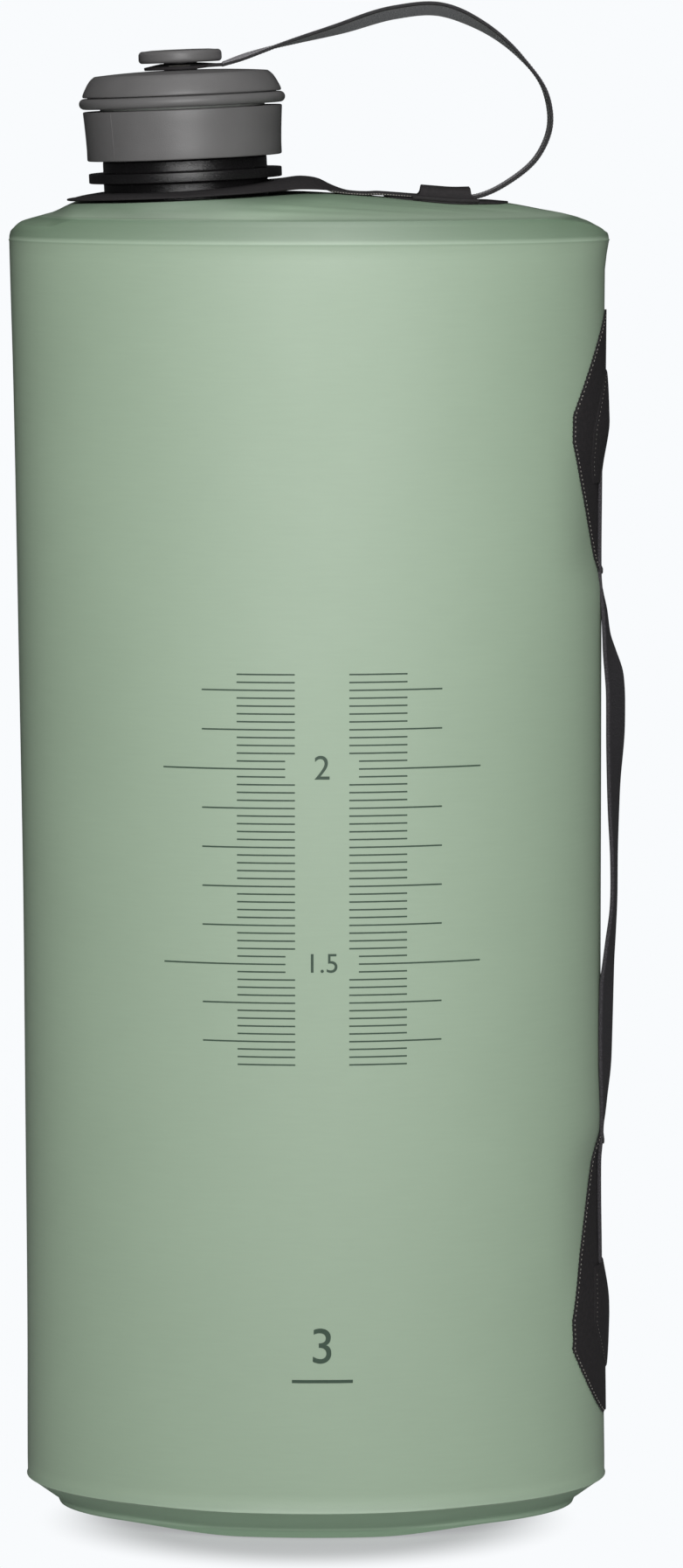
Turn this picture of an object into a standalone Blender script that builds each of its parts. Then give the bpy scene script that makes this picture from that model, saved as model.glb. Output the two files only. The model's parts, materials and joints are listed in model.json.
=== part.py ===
"""Collapsible water carrier: a film pouch that stands by itself, with a screw cap on an
off-centre neck, a leash that keeps the cap, and a webbing handle down one side.

Metres, +Z up. The pouch stands on z = 0 around the origin. Its front faces -Y and its
handle is on the +X side."""

import bisect
import itertools
import math

import bmesh
import bpy
from mathutils import Matrix, Vector

# Clearance between pieces that touch, and between the pouch's two walls at its side seams
GAP = 0.0003
SIDE_SEAM = 0.0005

# Film pouch
BODY_WIDTH = 0.156
BODY_DEPTH = 0.080
BODY_LEAN = 0.0022
RIM_HEIGHT = 0.3463
FILM = 0.0008
WELD_BAND = 0.0051
WAIST = 0.0011
BELLY = 0.0015
TUCK = 0.0075
TUCK_RISE = 0.0095
TUCK_START = math.radians(25)
BASE_FLAT_INSET = 0.0105

# Top panel: a flat seat for the neck on a dome that falls to a rounded, puffed rim
SEAT_HEIGHT = 0.352
SEAT_RADIUS = 0.0325
DOME_POWER_SHARE = 1.2
RIM_ROUND = 0.0038
RIM_PUFF = 0.0014

# Neck, measured along its own axis from the seat
NECK_OFFSET = -0.0315
NECK_LEAN = math.radians(2.4)
BORE = 0.038
NECK_WALL = 0.0013
THREAD_ROOT = BORE + 2 * NECK_WALL
COLLAR_STEP = 0.0011
NECK_OUTER = THREAD_ROOT + 2 * COLLAR_STEP
NECK_LIP = 0.0228
COLLAR_TOP = 0.0100
FLANGE_REACH = 0.0038
FLANGE_BOTTOM = 0.0045
FLANGE_THICKNESS = 0.0027
FLANGE_ROUND = 0.0008
WELD_FLANGE_REACH = 0.0086
WELD_FLANGE_THICKNESS = 0.0015
LIP_ROUND = 0.0005

# Cap, whose widths follow from the thread that it screws on to
THREAD_ROOM = 0.0017
CAP_BORE = THREAD_ROOT + 2 * THREAD_ROOM
SKIRT_WALL = 0.0034
SKIRT_WIDTH = CAP_BORE + 2 * SKIRT_WALL
SKIRT_FLARE = 0.0006
SKIRT_CLEARANCE = 0.0010
SKIRT_BOTTOM = COLLAR_TOP + SKIRT_CLEARANCE
SKIRT_HEIGHT = 0.0127
SKIRT_ROUND = 0.0004
GASKET_THICKNESS = 0.0018
GASKET_REACH = 0.0016
GASKET_CLEARANCE = 0.0005
CROWN_OVERHANG = 0.0006
CROWN_WIDTH = SKIRT_WIDTH + 2 * CROWN_OVERHANG
CROWN_SHOULDER_WIDTH = 0.0034
CROWN_LAND = 0.0003
CROWN_HEIGHT = 0.0090
CROWN_DOME = 0.0009
CROWN_TOP_WALL = 0.0027
CROWN_LEDGE = 0.0009
CROWN_GROOVE = 0.0014
CROWN_LIP = 0.0004
RING_OVERHANG = 0.0009
RING_THICKNESS = 0.0030
RING_SEAT = 0.0004

# Shares of the crown's radius and of its dome's fall, then of its shoulder's width and fall
CROWN_DOME_SHARES = [(0.7, 0.42), (1, 1)]
CROWN_SHOULDER_SHARES = [(0.41, 0.24), (0.72, 0.56), (0.92, 0.85), (1, 1)]

# Leash stud: a button whose stem passes through the eye and snaps into the cap
BUTTON_WIDTH = 0.0217
BUTTON_THICKNESS = 0.0036
BUTTON_ROUND = 0.0009
STEM_WIDTH = 0.0087
STEM_CLEARANCE = 0.0003
BARB_WIDTH = 0.0103
BARB_LENGTH = 0.0019

# Leash: the eye on the stud, the strap, and the plate under the neck flange
EYE_WIDTH = 0.0190
EYE_THICKNESS = 0.0013
EYE_STUB = 0.0113
LEASH_WIDTH = 0.0120
LEASH_THICKNESS = 0.0012
LEASH_TWIST = math.radians(14)
LEASH_REACH = 0.040
LEASH_RISE = 0.030
LEASH_LANDING = 0.0440
LEASH_JOIN = 0.0361
PLATE_RADIUS = 0.0312
PLATE_POINT = 0.0380
PLATE_THICKNESS = 0.0012
PLATE_DROP_SHARE = 0.8
ARM_START = 0.0262
ARM_HUMP = 0.0031
TRIM = 0.0001

# Share of the way from the eye to the landing, then shares of the reach and of the rise
LEASH_ROUTE_SHARES = [
    (0.09, 0.21, 0.26), (0.18, 0.46, 0.5), (0.27, 0.69, 0.75), (0.36, 0.83, 0.92),
    (0.45, 0.96, 0.89), (0.55, 1.06, 0.75), (0.64, 1.06, 0.51), (0.73, 0.93, 0.3),
    (0.82, 0.7, 0.14), (0.91, 0.38, 0.04),
]
LEASH_TWIST_SHARES = [
    (0, 0), (0.03, -0.5), (0.07, -0.45), (0.13, 0), (0.22, 0.55), (0.33, 0.95),
    (0.45, 1), (0.57, 0.8), (0.7, 0.45), (0.85, 0.12), (1, 0),
]

# Share of the way from the neck's axis to the leash, then of the hump and of the patch's height
ARM_ROUTE_SHARES = [
    (-0.46, 0, 0), (-0.3, 0.33, 0), (0, 0.5, 0), (0.318, 0.82, 0), (0.368, 0.87, 0),
    (0.428, 1, 0), (0.466, 0.94, 0), (0.515, 0.74, 0), (0.559, 0.42, 0), (0.59, 0.2, 0),
    (0.62, 0.05, 0), (0.66, 0, 0), (0.7, 0, 0.3), (0.74, 0, 1), (1, 0, 1),
]

# Patch on the top panel, and the keeper that holds the leash down on it
TOP_PATCH_START = 0.0200
TOP_PATCH_END = 0.0525
TOP_PATCH_WIDTH = 0.0170
TOP_PATCH_THICKNESS = 0.0010
KEEPER_START = 0.0296
KEEPER_LENGTH = 0.0130
KEEPER_FOOT = 0.0022
KEEPER_FLARE = 0.0022
KEEPER_THICKNESS = 0.0010

# Side handle: webbing whose ends are sewn to two patches, under two covers. The patches' flat
# facets bridge those of the wall, so they stand a little more than GAP off it
PATCH_HALF_WIDTH = 0.0180
PATCH_TIP = 0.0012
PATCH_LIFT = 0.0005
PATCH_THICKNESS = 0.0007
UPPER_PATCH_TIP = 0.3228
UPPER_PATCH_WIDEST = 0.2935
UPPER_PATCH_END = 0.2530
UPPER_TAPER_SHARE = 0.6
LOWER_PATCH_TIP = 0.0270
LOWER_PATCH_WIDEST = 0.0505
LOWER_PATCH_END = 0.1040
LOWER_TAPER_SHARE = 0.45
COVER_HALF_WIDTH = 0.0120
COVER_CUT_HALF_WIDTH = 0.0090
COVER_THICKNESS = 0.0007
COVER_CROWN = 0.0008
COVER_REACH = 0.0145
COVER_CUT_REACH = 0.0147
UPPER_COVER_WIDEST = 0.2925
LOWER_COVER_WIDEST = 0.0535
HANDLE_WIDTH = 0.0150
HANDLE_END_WIDTH = 0.0080
HANDLE_GATHER = 0.0200
HANDLE_THICKNESS = 0.0013
HANDLE_BOW = 0.0018
HANDLE_TWIST = math.radians(19.4)
TACK_HEIGHT = 0.0012
TACK_THICKNESS = 0.0007
TACK_INSET = 0.0006
UPPER_TACK = 0.2545
LOWER_TACK = 0.1015

# Share of the height, then shares of the bow and of the twist
HANDLE_ROUTE_SHARES = [
    (0, 0, 0), (0.165, 0, 0.03), (0.211, -0.1, 0.45), (0.25, -0.2, 0.63), (0.3, -0.18, 0.72),
    (0.355, -0.1, 0.72), (0.39, 0.04, 0.61), (0.42, 0.33, 0.5), (0.464, 0.77, 0.36),
    (0.524, 0.83, 0.36), (0.575, 0.77, 0.54), (0.62, 0.8, 0.72), (0.67, 0.96, 0.95),
    (0.715, 1, 1), (0.745, 0.86, 0.96), (0.768, 0.5, 0.8), (0.79, 0.02, 0.52),
    (0.815, -0.3, 0.34), (0.845, -0.3, 0.2), (0.875, -0.05, 0.03), (0.89, 0, 0), (1, 0, 0),
]

# How finely each form is drawn
WALL_STEPS = 48
WALL_ROWS = 6
TUCK_ROWS = 3
DOME_ROWS = 5
RIM_STEPS = 4
ROUND_STEPS = 48
STUD_STEPS = 32
EDGE_STEPS = 3
PATCH_ROWS = 4
PATCH_COLUMNS = 8
LEASH_STEPS = 48
HANDLE_STEPS = 36
PLATE_COLUMNS = 3
ARM_STEPS = 24
MERGE = 0.000001
SHARP_ANGLE = math.radians(35)

NECK_FRAME = Matrix.Translation((NECK_OFFSET, 0, SEAT_HEIGHT)) @ Matrix.Rotation(
    -NECK_LEAN, 4, "Y"
)
WELD_INSET = FILM + GAP
COLLAR_HOLE = NECK_OUTER / 2 + GAP


def clear_scene():
    for obj in list(bpy.data.objects):
        bpy.data.objects.remove(obj)


def material(name, colour, roughness, metallic=0.0):
    """A Principled material whose colour is given as sRGB hex."""
    made = bpy.data.materials.new(name)
    made.use_nodes = True
    shader = made.node_tree.nodes["Principled BSDF"]
    srgb = [int(colour[i : i + 2], 16) / 255 for i in (1, 3, 5)]
    linear = [c / 12.92 if c <= 0.04045 else ((c + 0.055) / 1.055) ** 2.4 for c in srgb]
    shader.inputs["Base Color"].default_value = (*linear, 1)
    shader.inputs["Roughness"].default_value = roughness
    shader.inputs["Metallic"].default_value = metallic
    return made


def add_object(name, mesh, finish, parent=None):
    """Turns a bmesh into a named, smooth-shaded object."""
    bmesh.ops.remove_doubles(mesh, verts=mesh.verts, dist=MERGE)
    bmesh.ops.recalc_face_normals(mesh, faces=mesh.faces)
    data = bpy.data.meshes.new(name)
    mesh.to_mesh(data)
    mesh.free()
    data.materials.append(finish)
    data.shade_smooth()
    data.set_sharp_from_angle(angle=SHARP_ANGLE)
    obj = bpy.data.objects.new(name, data)
    bpy.context.scene.collection.objects.link(obj)
    obj.parent = parent
    return obj


def thick_sheet(name, finish, face, back, closed=False):
    """A solid between two grids of points. Each grid is a list of rows; a closed sheet
    joins its last row to its first."""
    mesh = bmesh.new()
    front = [[mesh.verts.new(p) for p in row] for row in face]
    rear = [[mesh.verts.new(p) for p in row] for row in back]
    rows = len(front)
    for i in range(rows if closed else rows - 1):
        here, there = front[i], front[(i + 1) % rows]
        under, beyond = rear[i], rear[(i + 1) % rows]
        for k in range(len(here) - 1):
            mesh.faces.new((here[k], there[k], there[k + 1], here[k + 1]))
            mesh.faces.new((under[k], under[k + 1], beyond[k + 1], beyond[k]))
        mesh.faces.new((here[0], under[0], beyond[0], there[0]))
        mesh.faces.new((here[-1], there[-1], beyond[-1], under[-1]))
    if not closed:
        for top, bottom in ((front[0], rear[0]), (rear[-1], front[-1])):
            for k in range(len(top) - 1):
                mesh.faces.new((top[k], top[k + 1], bottom[k + 1], bottom[k]))
    return add_object(name, mesh, finish)


def turned(name, finish, profile, steps, parent):
    """A solid of revolution about Z. The profile's (radius, height) points form a closed
    loop, or run from the axis back to the axis."""
    mesh = bmesh.new()
    points = [mesh.verts.new((radius, 0, height)) for radius, height in profile]
    edges = [mesh.edges.new(pair) for pair in zip(points, points[1:])]
    if profile[0][0] > 0:
        edges.append(mesh.edges.new((points[-1], points[0])))
    bmesh.ops.spin(
        mesh,
        geom=points + edges,
        cent=(0, 0, 0),
        axis=(0, 0, 1),
        angle=2 * math.pi,
        steps=steps,
        use_merge=True,
    )
    return add_object(name, mesh, finish, parent)


def arc(centre, radii, start, end, steps=EDGE_STEPS):
    """(radius, height) points along a quarter of an ellipse or less, angles in degrees."""
    turns = [math.radians(start + (end - start) * i / steps) for i in range(steps + 1)]
    return [
        (centre[0] + radii[0] * math.cos(t), centre[1] + radii[1] * math.sin(t))
        for t in turns
    ]


def join(target, helper):
    """Makes the helper part of the target, and hides the helper."""
    union = target.modifiers.new("join_" + helper.name, "BOOLEAN")
    union.operation = "UNION"
    union.solver = "EXACT"
    union.object = helper
    helper.hide_render = True
    helper.display_type = "WIRE"


def between(rows, share):
    """The values of a table at a share of the way, on a smooth curve through its rows. Each
    row starts with its own share."""
    last = len(rows) - 1
    first = sum(row[0] <= share for row in rows[1:last])
    start, end = rows[first], rows[first + 1]
    gap = end[0] - start[0]
    t = min(max((share - start[0]) / gap, 0), 1)
    values = []
    for k in range(1, len(start)):
        slopes = [
            (rows[i + 1][k] - rows[i - 1][k]) / (rows[i + 1][0] - rows[i - 1][0])
            if 0 < i < last else 0
            for i in (first, first + 1)
        ]
        values.append(
            start[k] * (1 + 2 * t) * (1 - t) ** 2
            + slopes[0] * gap * t * (1 - t) ** 2
            + end[k] * t**2 * (3 - 2 * t)
            + slopes[1] * gap * t**2 * (t - 1)
        )
    return values


def smooth(points, count):
    """Evenly spaced points on a smooth curve through the given vectors."""
    gaps = [(b - a).length for a, b in zip(points, points[1:])]
    slopes = [(b - a) / gap for a, b, gap in zip(points, points[1:], gaps)]
    directions = [slopes[0]]
    for i in range(1, len(slopes)):
        mixed = slopes[i - 1] * gaps[i] + slopes[i] * gaps[i - 1]
        directions.append(mixed / (gaps[i - 1] + gaps[i]))
    directions.append(slopes[-1])
    reached = list(itertools.accumulate(gaps, initial=0))
    curve = []
    for step in range(count + 1):
        place = reached[-1] * step / count
        first = min(bisect.bisect_right(reached, place), len(gaps)) - 1
        t = (place - reached[first]) / gaps[first]
        leaving = directions[first] * gaps[first]
        arriving = directions[first + 1] * gaps[first]
        curve.append(
            points[first] * (1 + 2 * t) * (1 - t) ** 2
            + leaving * t * (1 - t) ** 2
            + points[first + 1] * t**2 * (3 - 2 * t)
            + arriving * t**2 * (t - 1)
        )
    return curve


def tangents(points):
    """The direction of travel at each point."""
    padded = [points[0]] + points + [points[-1]]
    return [(after - before).normalized() for before, after in zip(padded, padded[2:])]


def strap(name, finish, centres, directions, sides, thickness):
    """A flat strap that follows centres; sides reach from them to the strap's edge."""
    face, back = [], []
    for centre, direction, side in zip(centres, directions, sides):
        up = direction.cross(side).normalized() * thickness / 2
        edges = [centre - side, centre + side]
        face.append([edge + up for edge in edges])
        back.append([edge - up for edge in edges])
    return thick_sheet(name, finish, face, back)


def swell(height):
    """0 at the pouch's rim and foot, 1 half way between them."""
    share = (height - TUCK_RISE) / (RIM_HEIGHT - TUCK_RISE)
    return math.sin(math.pi * min(max(share, 0), 1))


def lean(height):
    """How far the pouch stands to the handle's side at a height, from none at the rim."""
    return BODY_LEAN * (1 - height / RIM_HEIGHT)


def on_wall(angle, height, lift):
    """A point that far outside the pouch's wall; angle 0 is the handle's side."""
    half_width = BODY_WIDTH / 2 - WAIST * swell(height)
    half_depth = BODY_DEPTH / 2 + BELLY * swell(height)
    out = Vector((half_depth * math.cos(angle), half_width * math.sin(angle), 0))
    x = half_width * math.cos(angle) + lean(height)
    edge = Vector((x, half_depth * math.sin(angle), height))
    return edge + out.normalized() * lift


def on_side(across, height, lift):
    """A point on the handle's side of the wall, at a distance from its middle line."""
    half_depth = BODY_DEPTH / 2 + BELLY * swell(height)
    seam = Vector((0, math.copysign(SIDE_SEAM / 2, across), 0)) if across else Vector()
    return on_wall(math.asin(across / half_depth), height, lift) + seam


def tuck_profile():
    """(lift, height) up the rounded foot of the wall."""
    turns = [
        TUCK_START + (math.pi / 2 - TUCK_START) * i / TUCK_ROWS
        for i in range(TUCK_ROWS + 1)
    ]
    return [(TUCK * (math.sin(t) - 1), TUCK_RISE * (1 - math.cos(t))) for t in turns]


def wall_profile():
    """(lift, height) up the outside of the film wall, from its foot to the rim."""
    seam = RIM_HEIGHT - WELD_BAND
    rise = (seam - TUCK_RISE) / WALL_ROWS
    straight = [(0, TUCK_RISE + rise * (i + 1)) for i in range(WALL_ROWS)]
    return tuck_profile() + straight + [(0, RIM_HEIGHT - FILM)]


def parallel(profile, distance):
    """The profile moved inwards, square to itself."""
    points = [Vector(p) for p in profile]
    lines = [(b - a).normalized() for a, b in zip(points, points[1:])]
    moved = []
    for point, before, after in zip(points, [lines[0]] + lines, lines + [lines[-1]]):
        inward = Vector((-before.y - after.y, before.x + after.x))
        moved.append(tuple(point + inward * distance / inward.dot(Vector((-after.y, after.x)))))
    return moved


def dome_seat(turn):
    """A point on the edge of the flat seat that surrounds the neck."""
    place = (SEAT_RADIUS * math.cos(turn), SEAT_RADIUS * math.sin(turn), 0)
    return NECK_FRAME @ Vector(place)


def top_height(x, y):
    """The height of the top panel's upper face."""
    reach = math.hypot(x - NECK_OFFSET, y)
    if reach <= SEAT_RADIUS:
        return SEAT_HEIGHT + (x - NECK_OFFSET) * math.tan(NECK_LEAN)
    cos, sin = (x - NECK_OFFSET) / reach, y / reach
    wide = BODY_WIDTH / 2 - WELD_INSET - RIM_ROUND
    deep = BODY_DEPTH / 2 - WELD_INSET - RIM_ROUND
    a = (cos / wide) ** 2 + (sin / deep) ** 2
    b = NECK_OFFSET * cos / wide**2
    c = (NECK_OFFSET / wide) ** 2 - 1
    rim = (math.sqrt(b * b - a * c) - b) / a
    share = (reach - SEAT_RADIUS) / (rim - SEAT_RADIUS)
    seat = dome_seat(math.atan2(sin, cos)).z
    crest = RIM_HEIGHT + RIM_PUFF
    return seat + (crest - seat) * min(share, 1) ** DOME_POWER_SHARE


def on_top(x, y, lift):
    """A point that far above the top panel."""
    return Vector((x, y, top_height(x, y) + lift))


def film_wall(name, finish, start, side):
    """Half of the pouch's wall, from one side seam to the other."""
    profile = wall_profile()
    inside = parallel(profile, FILM)
    shift = Vector((0, side * SIDE_SEAM / 2, 0))
    face, back = [], []
    for i in range(WALL_STEPS // 2 + 1):
        angle = start + 2 * math.pi * i / WALL_STEPS
        face.append([on_wall(angle, z, lift) + shift for lift, z in profile])
        back.append([on_wall(angle, z, lift) + shift for lift, z in inside])
    return thick_sheet(name, finish, face, back)


def top_gusset(finish):
    """The domed top panel, with its skirt welded inside the walls and a hole for the neck."""
    skirt = RIM_HEIGHT - WELD_BAND
    centre = (-WELD_INSET - RIM_ROUND, RIM_HEIGHT + RIM_PUFF - RIM_ROUND)
    corner = arc(centre, (RIM_ROUND, RIM_ROUND), 0, 90, RIM_STEPS)
    edge = [(-WELD_INSET, skirt)] + corner
    drop = Vector((0, 0, -FILM))
    face, back = [], []
    for i in range(WALL_STEPS):
        angle = 2 * math.pi * i / WALL_STEPS
        outside = [on_wall(angle, z, lift) for lift, z in edge]
        inside = [on_wall(angle, z, lift) for lift, z in parallel(edge, FILM)]
        rim = outside[-1]
        turn = math.atan2(rim.y, rim.x - NECK_OFFSET)
        seat = dome_seat(turn)
        for row in range(1, DOME_ROWS + 1):
            share = 1 - row / DOME_ROWS
            point = seat.lerp(rim, share)
            point.z = seat.z + (rim.z - seat.z) * share**DOME_POWER_SHARE
            outside.append(point)
            inside.append(point + drop)
        hole = (COLLAR_HOLE * math.cos(turn), COLLAR_HOLE * math.sin(turn), 0)
        outside.append(NECK_FRAME @ Vector(hole))
        inside.append(outside[-1] + drop)
        face.append(outside)
        back.append(inside)
    return thick_sheet("top_gusset", finish, face, back, closed=True)


def bottom_gusset(finish):
    """The base: a dish whose rim is welded inside the foot of the walls."""
    skirt = parallel(tuck_profile() + [(0, TUCK_RISE + FILM)], WELD_INSET)
    edge = skirt[::-1] + [(-BASE_FLAT_INSET, 0)]
    above = [(lift, z) for lift, z in parallel(edge[::-1], FILM)[::-1]]
    above[-1] = (-BASE_FLAT_INSET, FILM)
    face, back = [], []
    for i in range(WALL_STEPS):
        angle = 2 * math.pi * i / WALL_STEPS
        low, high = Vector((lean(0), 0, 0)), Vector((lean(0), 0, FILM))
        face.append([on_wall(angle, z, lift) for lift, z in edge] + [low])
        back.append([on_wall(angle, z, lift) for lift, z in above] + [high])
    return thick_sheet("bottom_gusset", finish, face, back, closed=True)


def neck_spout(finish, axis):
    """The moulded neck: a bore, a threaded mouth, a collar with a flange, and the flange
    under the film that is welded to the top panel."""
    bore, collar, mouth = BORE / 2, NECK_OUTER / 2, THREAD_ROOT / 2
    flange, weld = collar + FLANGE_REACH, collar + WELD_FLANGE_REACH
    flange_top = FLANGE_BOTTOM + FLANGE_THICKNESS
    weld_top = -FILM - GAP
    weld_bottom = weld_top - WELD_FLANGE_THICKNESS
    profile = [(mouth - LIP_ROUND, NECK_LIP), (mouth, NECK_LIP - LIP_ROUND)]
    profile += [(mouth, COLLAR_TOP + LIP_ROUND), (collar, COLLAR_TOP), (collar, flange_top)]
    profile += [(flange - FLANGE_ROUND, flange_top), (flange, flange_top - FLANGE_ROUND)]
    profile += [(flange, FLANGE_BOTTOM + FLANGE_ROUND), (flange - FLANGE_ROUND, FLANGE_BOTTOM)]
    profile += [(collar, FLANGE_BOTTOM), (collar, weld_top), (weld, weld_top)]
    profile += [(weld, weld_bottom), (bore, weld_bottom), (bore, NECK_LIP - LIP_ROUND)]
    profile += [(bore + LIP_ROUND, NECK_LIP)]
    return turned("neck_spout", finish, profile, ROUND_STEPS, axis)


def cap_skirt(finish, axis):
    """The side wall of the cap, which screws on to the neck."""
    outer, bore = SKIRT_WIDTH / 2, CAP_BORE / 2
    top = SKIRT_BOTTOM + SKIRT_HEIGHT
    middle = SKIRT_BOTTOM + SKIRT_HEIGHT / 2
    profile = [(outer + SKIRT_FLARE - SKIRT_ROUND, top), (outer + SKIRT_FLARE, top - SKIRT_ROUND)]
    profile += [(outer + SKIRT_FLARE / 4, middle), (outer, SKIRT_BOTTOM + SKIRT_ROUND)]
    profile += [(outer - SKIRT_ROUND, SKIRT_BOTTOM), (bore + SKIRT_ROUND, SKIRT_BOTTOM)]
    profile += [(bore, SKIRT_BOTTOM + SKIRT_ROUND), (bore, top)]
    return turned("cap_skirt", finish, profile, ROUND_STEPS, axis)


def crown_bottom():
    return SKIRT_BOTTOM + SKIRT_HEIGHT + GAP


def crown_top():
    """The height of the crown's centre, where the stud's stem goes in."""
    return crown_bottom() + CROWN_HEIGHT


def gasket_bottom():
    return NECK_LIP + GAP


def gasket_radii():
    """The seal's inner and outer radius: it reaches in past the bore and fills the cap."""
    return BORE / 2 - GASKET_REACH, CAP_BORE / 2 - GASKET_CLEARANCE


def groove_radius():
    return CROWN_WIDTH / 2 - CROWN_GROOVE


def stem_hole():
    return STEM_WIDTH / 2 + STEM_CLEARANCE


def cap_crown(finish, axis):
    """The top of the cap: a domed disc with a rounded shoulder, a groove for the grip
    ring, a land over the gasket and a hole for the leash stud."""
    outer, spigot = CROWN_WIDTH / 2, groove_radius()
    flat = outer - CROWN_SHOULDER_WIDTH
    seal_inner, seal_outer = gasket_radii()
    bottom, top = crown_bottom(), crown_top()
    lip = bottom + RING_SEAT + RING_THICKNESS + GAP
    land = gasket_bottom() + GASKET_THICKNESS + GAP
    edge = top - CROWN_DOME
    fall = edge - (lip + CROWN_LIP + CROWN_LAND)
    inner, recess = seal_outer + GAP, seal_inner - CROWN_LEDGE
    under = top - CROWN_TOP_WALL
    profile = [(stem_hole(), top)]
    profile += [(flat * out, top - CROWN_DOME * down) for out, down in CROWN_DOME_SHARES]
    profile += [
        (flat + CROWN_SHOULDER_WIDTH * out, edge - fall * down)
        for out, down in CROWN_SHOULDER_SHARES
    ]
    profile += [(outer, lip + CROWN_LIP), (outer - CROWN_LIP, lip), (spigot, lip)]
    profile += [(spigot, bottom), (inner, bottom), (inner, land)]
    profile += [(recess, land), (recess, under), (stem_hole(), under)]
    return turned("cap_crown", finish, profile, ROUND_STEPS, axis)


def grip_ring(finish, axis):
    """The round bead between crown and skirt."""
    inner = groove_radius() + GAP
    half = RING_THICKNESS / 2
    middle = crown_bottom() + RING_SEAT + half
    outer = CROWN_WIDTH / 2 + RING_OVERHANG
    profile = [(inner, middle + half)]
    profile += arc((outer - half, middle), (half, half), 90, -90, 2 * EDGE_STEPS)
    profile += [(inner, middle - half)]
    return turned("grip_ring", finish, profile, ROUND_STEPS, axis)


def cap_gasket(finish, axis):
    """The seal between the neck's lip and the crown."""
    bottom = gasket_bottom()
    top = bottom + GASKET_THICKNESS
    inner, outer = gasket_radii()
    profile = [(outer, top), (outer, bottom), (inner, bottom), (inner, top)]
    return turned("cap_gasket", finish, profile, ROUND_STEPS, axis)


def button_bottom():
    return crown_top() + GAP + EYE_THICKNESS + GAP


def leash_stud(finish, axis):
    """The button that holds the leash's eye on the cap."""
    half, stem, barb = BUTTON_WIDTH / 2, STEM_WIDTH / 2, BARB_WIDTH / 2
    bottom = button_bottom()
    top = bottom + BUTTON_THICKNESS
    under = crown_top() - CROWN_TOP_WALL - GAP
    profile = [(0, top), (half - 2 * BUTTON_ROUND, top - GAP)]
    profile += [(half, top - GAP - BUTTON_ROUND), (half, bottom + BUTTON_ROUND)]
    profile += [(half - BUTTON_ROUND, bottom), (stem, bottom), (stem, under)]
    profile += [(barb, under - GAP), (stem, under - BARB_LENGTH), (0, under - BARB_LENGTH)]
    return turned("leash_stud", finish, profile, STUD_STEPS, axis)


def leash_eye(finish, axis):
    """The ring at the leash's end, with a flat stub that the strap is sewn to."""
    hole, outer = stem_hole(), EYE_WIDTH / 2
    bottom = crown_top() + GAP
    top = bottom + EYE_THICKNESS
    ring = [(outer, top), (outer, bottom), (hole, bottom), (hole, top)]
    eye = turned("leash_eye", finish, ring, STUD_STEPS, axis)
    mesh = bmesh.new()
    bmesh.ops.create_cube(mesh, size=1)
    start = (hole + outer) / 2
    size = (EYE_STUB - start, LEASH_WIDTH, EYE_THICKNESS - 2 * TRIM)
    bmesh.ops.scale(mesh, vec=size, verts=mesh.verts)
    centre = ((EYE_STUB + start) / 2, 0, (top + bottom) / 2)
    bmesh.ops.translate(mesh, vec=centre, verts=mesh.verts)
    join(eye, add_object("eye_stub", mesh, finish, axis))
    return eye


def leash_seat():
    """How far the leash's middle lies above the top panel where it lies on the patch."""
    return GAP + TOP_PATCH_THICKNESS + GAP + LEASH_THICKNESS / 2


def leash_route():
    """The leash's middle line, from the eye over and down to the patch."""
    middle = crown_top() + GAP + EYE_THICKNESS / 2
    start = NECK_FRAME @ Vector((EYE_STUB + GAP, 0, middle))
    landing = on_top(LEASH_LANDING, 0, leash_seat())
    points = [start]
    for share, out, up in LEASH_ROUTE_SHARES:
        aside = Vector((LEASH_REACH * out, 0, LEASH_RISE * up))
        points.append(start.lerp(landing, share) + aside)
    end = LEASH_JOIN + GAP / 2
    return points + [landing, on_top(end, 0, leash_seat())]


def leash_strap(finish):
    """The strap that stands in a loop between the cap and the top panel."""
    centres = smooth(leash_route(), LEASH_STEPS)
    directions = tangents(centres)
    directions[0] = NECK_FRAME.to_3x3() @ Vector((1, 0, 0))
    directions[-1] = Vector((-1, 0, 0))
    sides = []
    for i, direction in enumerate(directions):
        turn = LEASH_TWIST * between(LEASH_TWIST_SHARES, i / LEASH_STEPS)[0]
        up = direction.cross(Vector((0, 1, 0)))
        side = Vector((0, math.cos(turn), 0)) - up * math.sin(turn)
        sides.append(side * LEASH_WIDTH / 2)
    return strap("leash_strap", finish, centres, directions, sides, LEASH_THICKNESS)


def plate_tangent():
    """The angle at which the plate's straight sides leave its round part for the arm."""
    half = LEASH_WIDTH / 2
    reach = math.acos(PLATE_RADIUS / math.hypot(PLATE_POINT, half))
    return math.atan2(half, PLATE_POINT) + reach


def plate_edge(turn):
    """The outer radius of the leash plate, a round sheet that narrows towards its arm."""
    turn = abs(math.remainder(turn, 2 * math.pi))
    if turn >= plate_tangent():
        return PLATE_RADIUS
    straight = PLATE_RADIUS / math.cos(plate_tangent() - turn)
    return min(straight, PLATE_POINT / math.cos(turn))


def plate_half(x):
    """Half the width of the plate, and of its arm, at a place along them."""
    reach, tangent = x - NECK_OFFSET, plate_tangent()
    if reach <= PLATE_RADIUS * math.cos(tangent):
        return math.sqrt(max(PLATE_RADIUS**2 - reach**2, PLATE_THICKNESS**2))
    straight = (PLATE_RADIUS - reach * math.cos(tangent)) / math.sin(tangent)
    return max(straight, LEASH_WIDTH / 2)


def on_plate(x, y, lift):
    """A point above the plate's lower face, which humps up from the film to the flange."""
    share = (x - NECK_OFFSET) / (LEASH_JOIN - NECK_OFFSET)
    hump, seat = between(ARM_ROUTE_SHARES, share)
    drop = 1 - PLATE_DROP_SHARE * min(abs(y) / plate_half(x), 1) ** 2
    seated = (TOP_PATCH_THICKNESS + GAP) * seat
    return on_top(x, y, GAP + ARM_HUMP * hump * drop + seated + lift)


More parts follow.
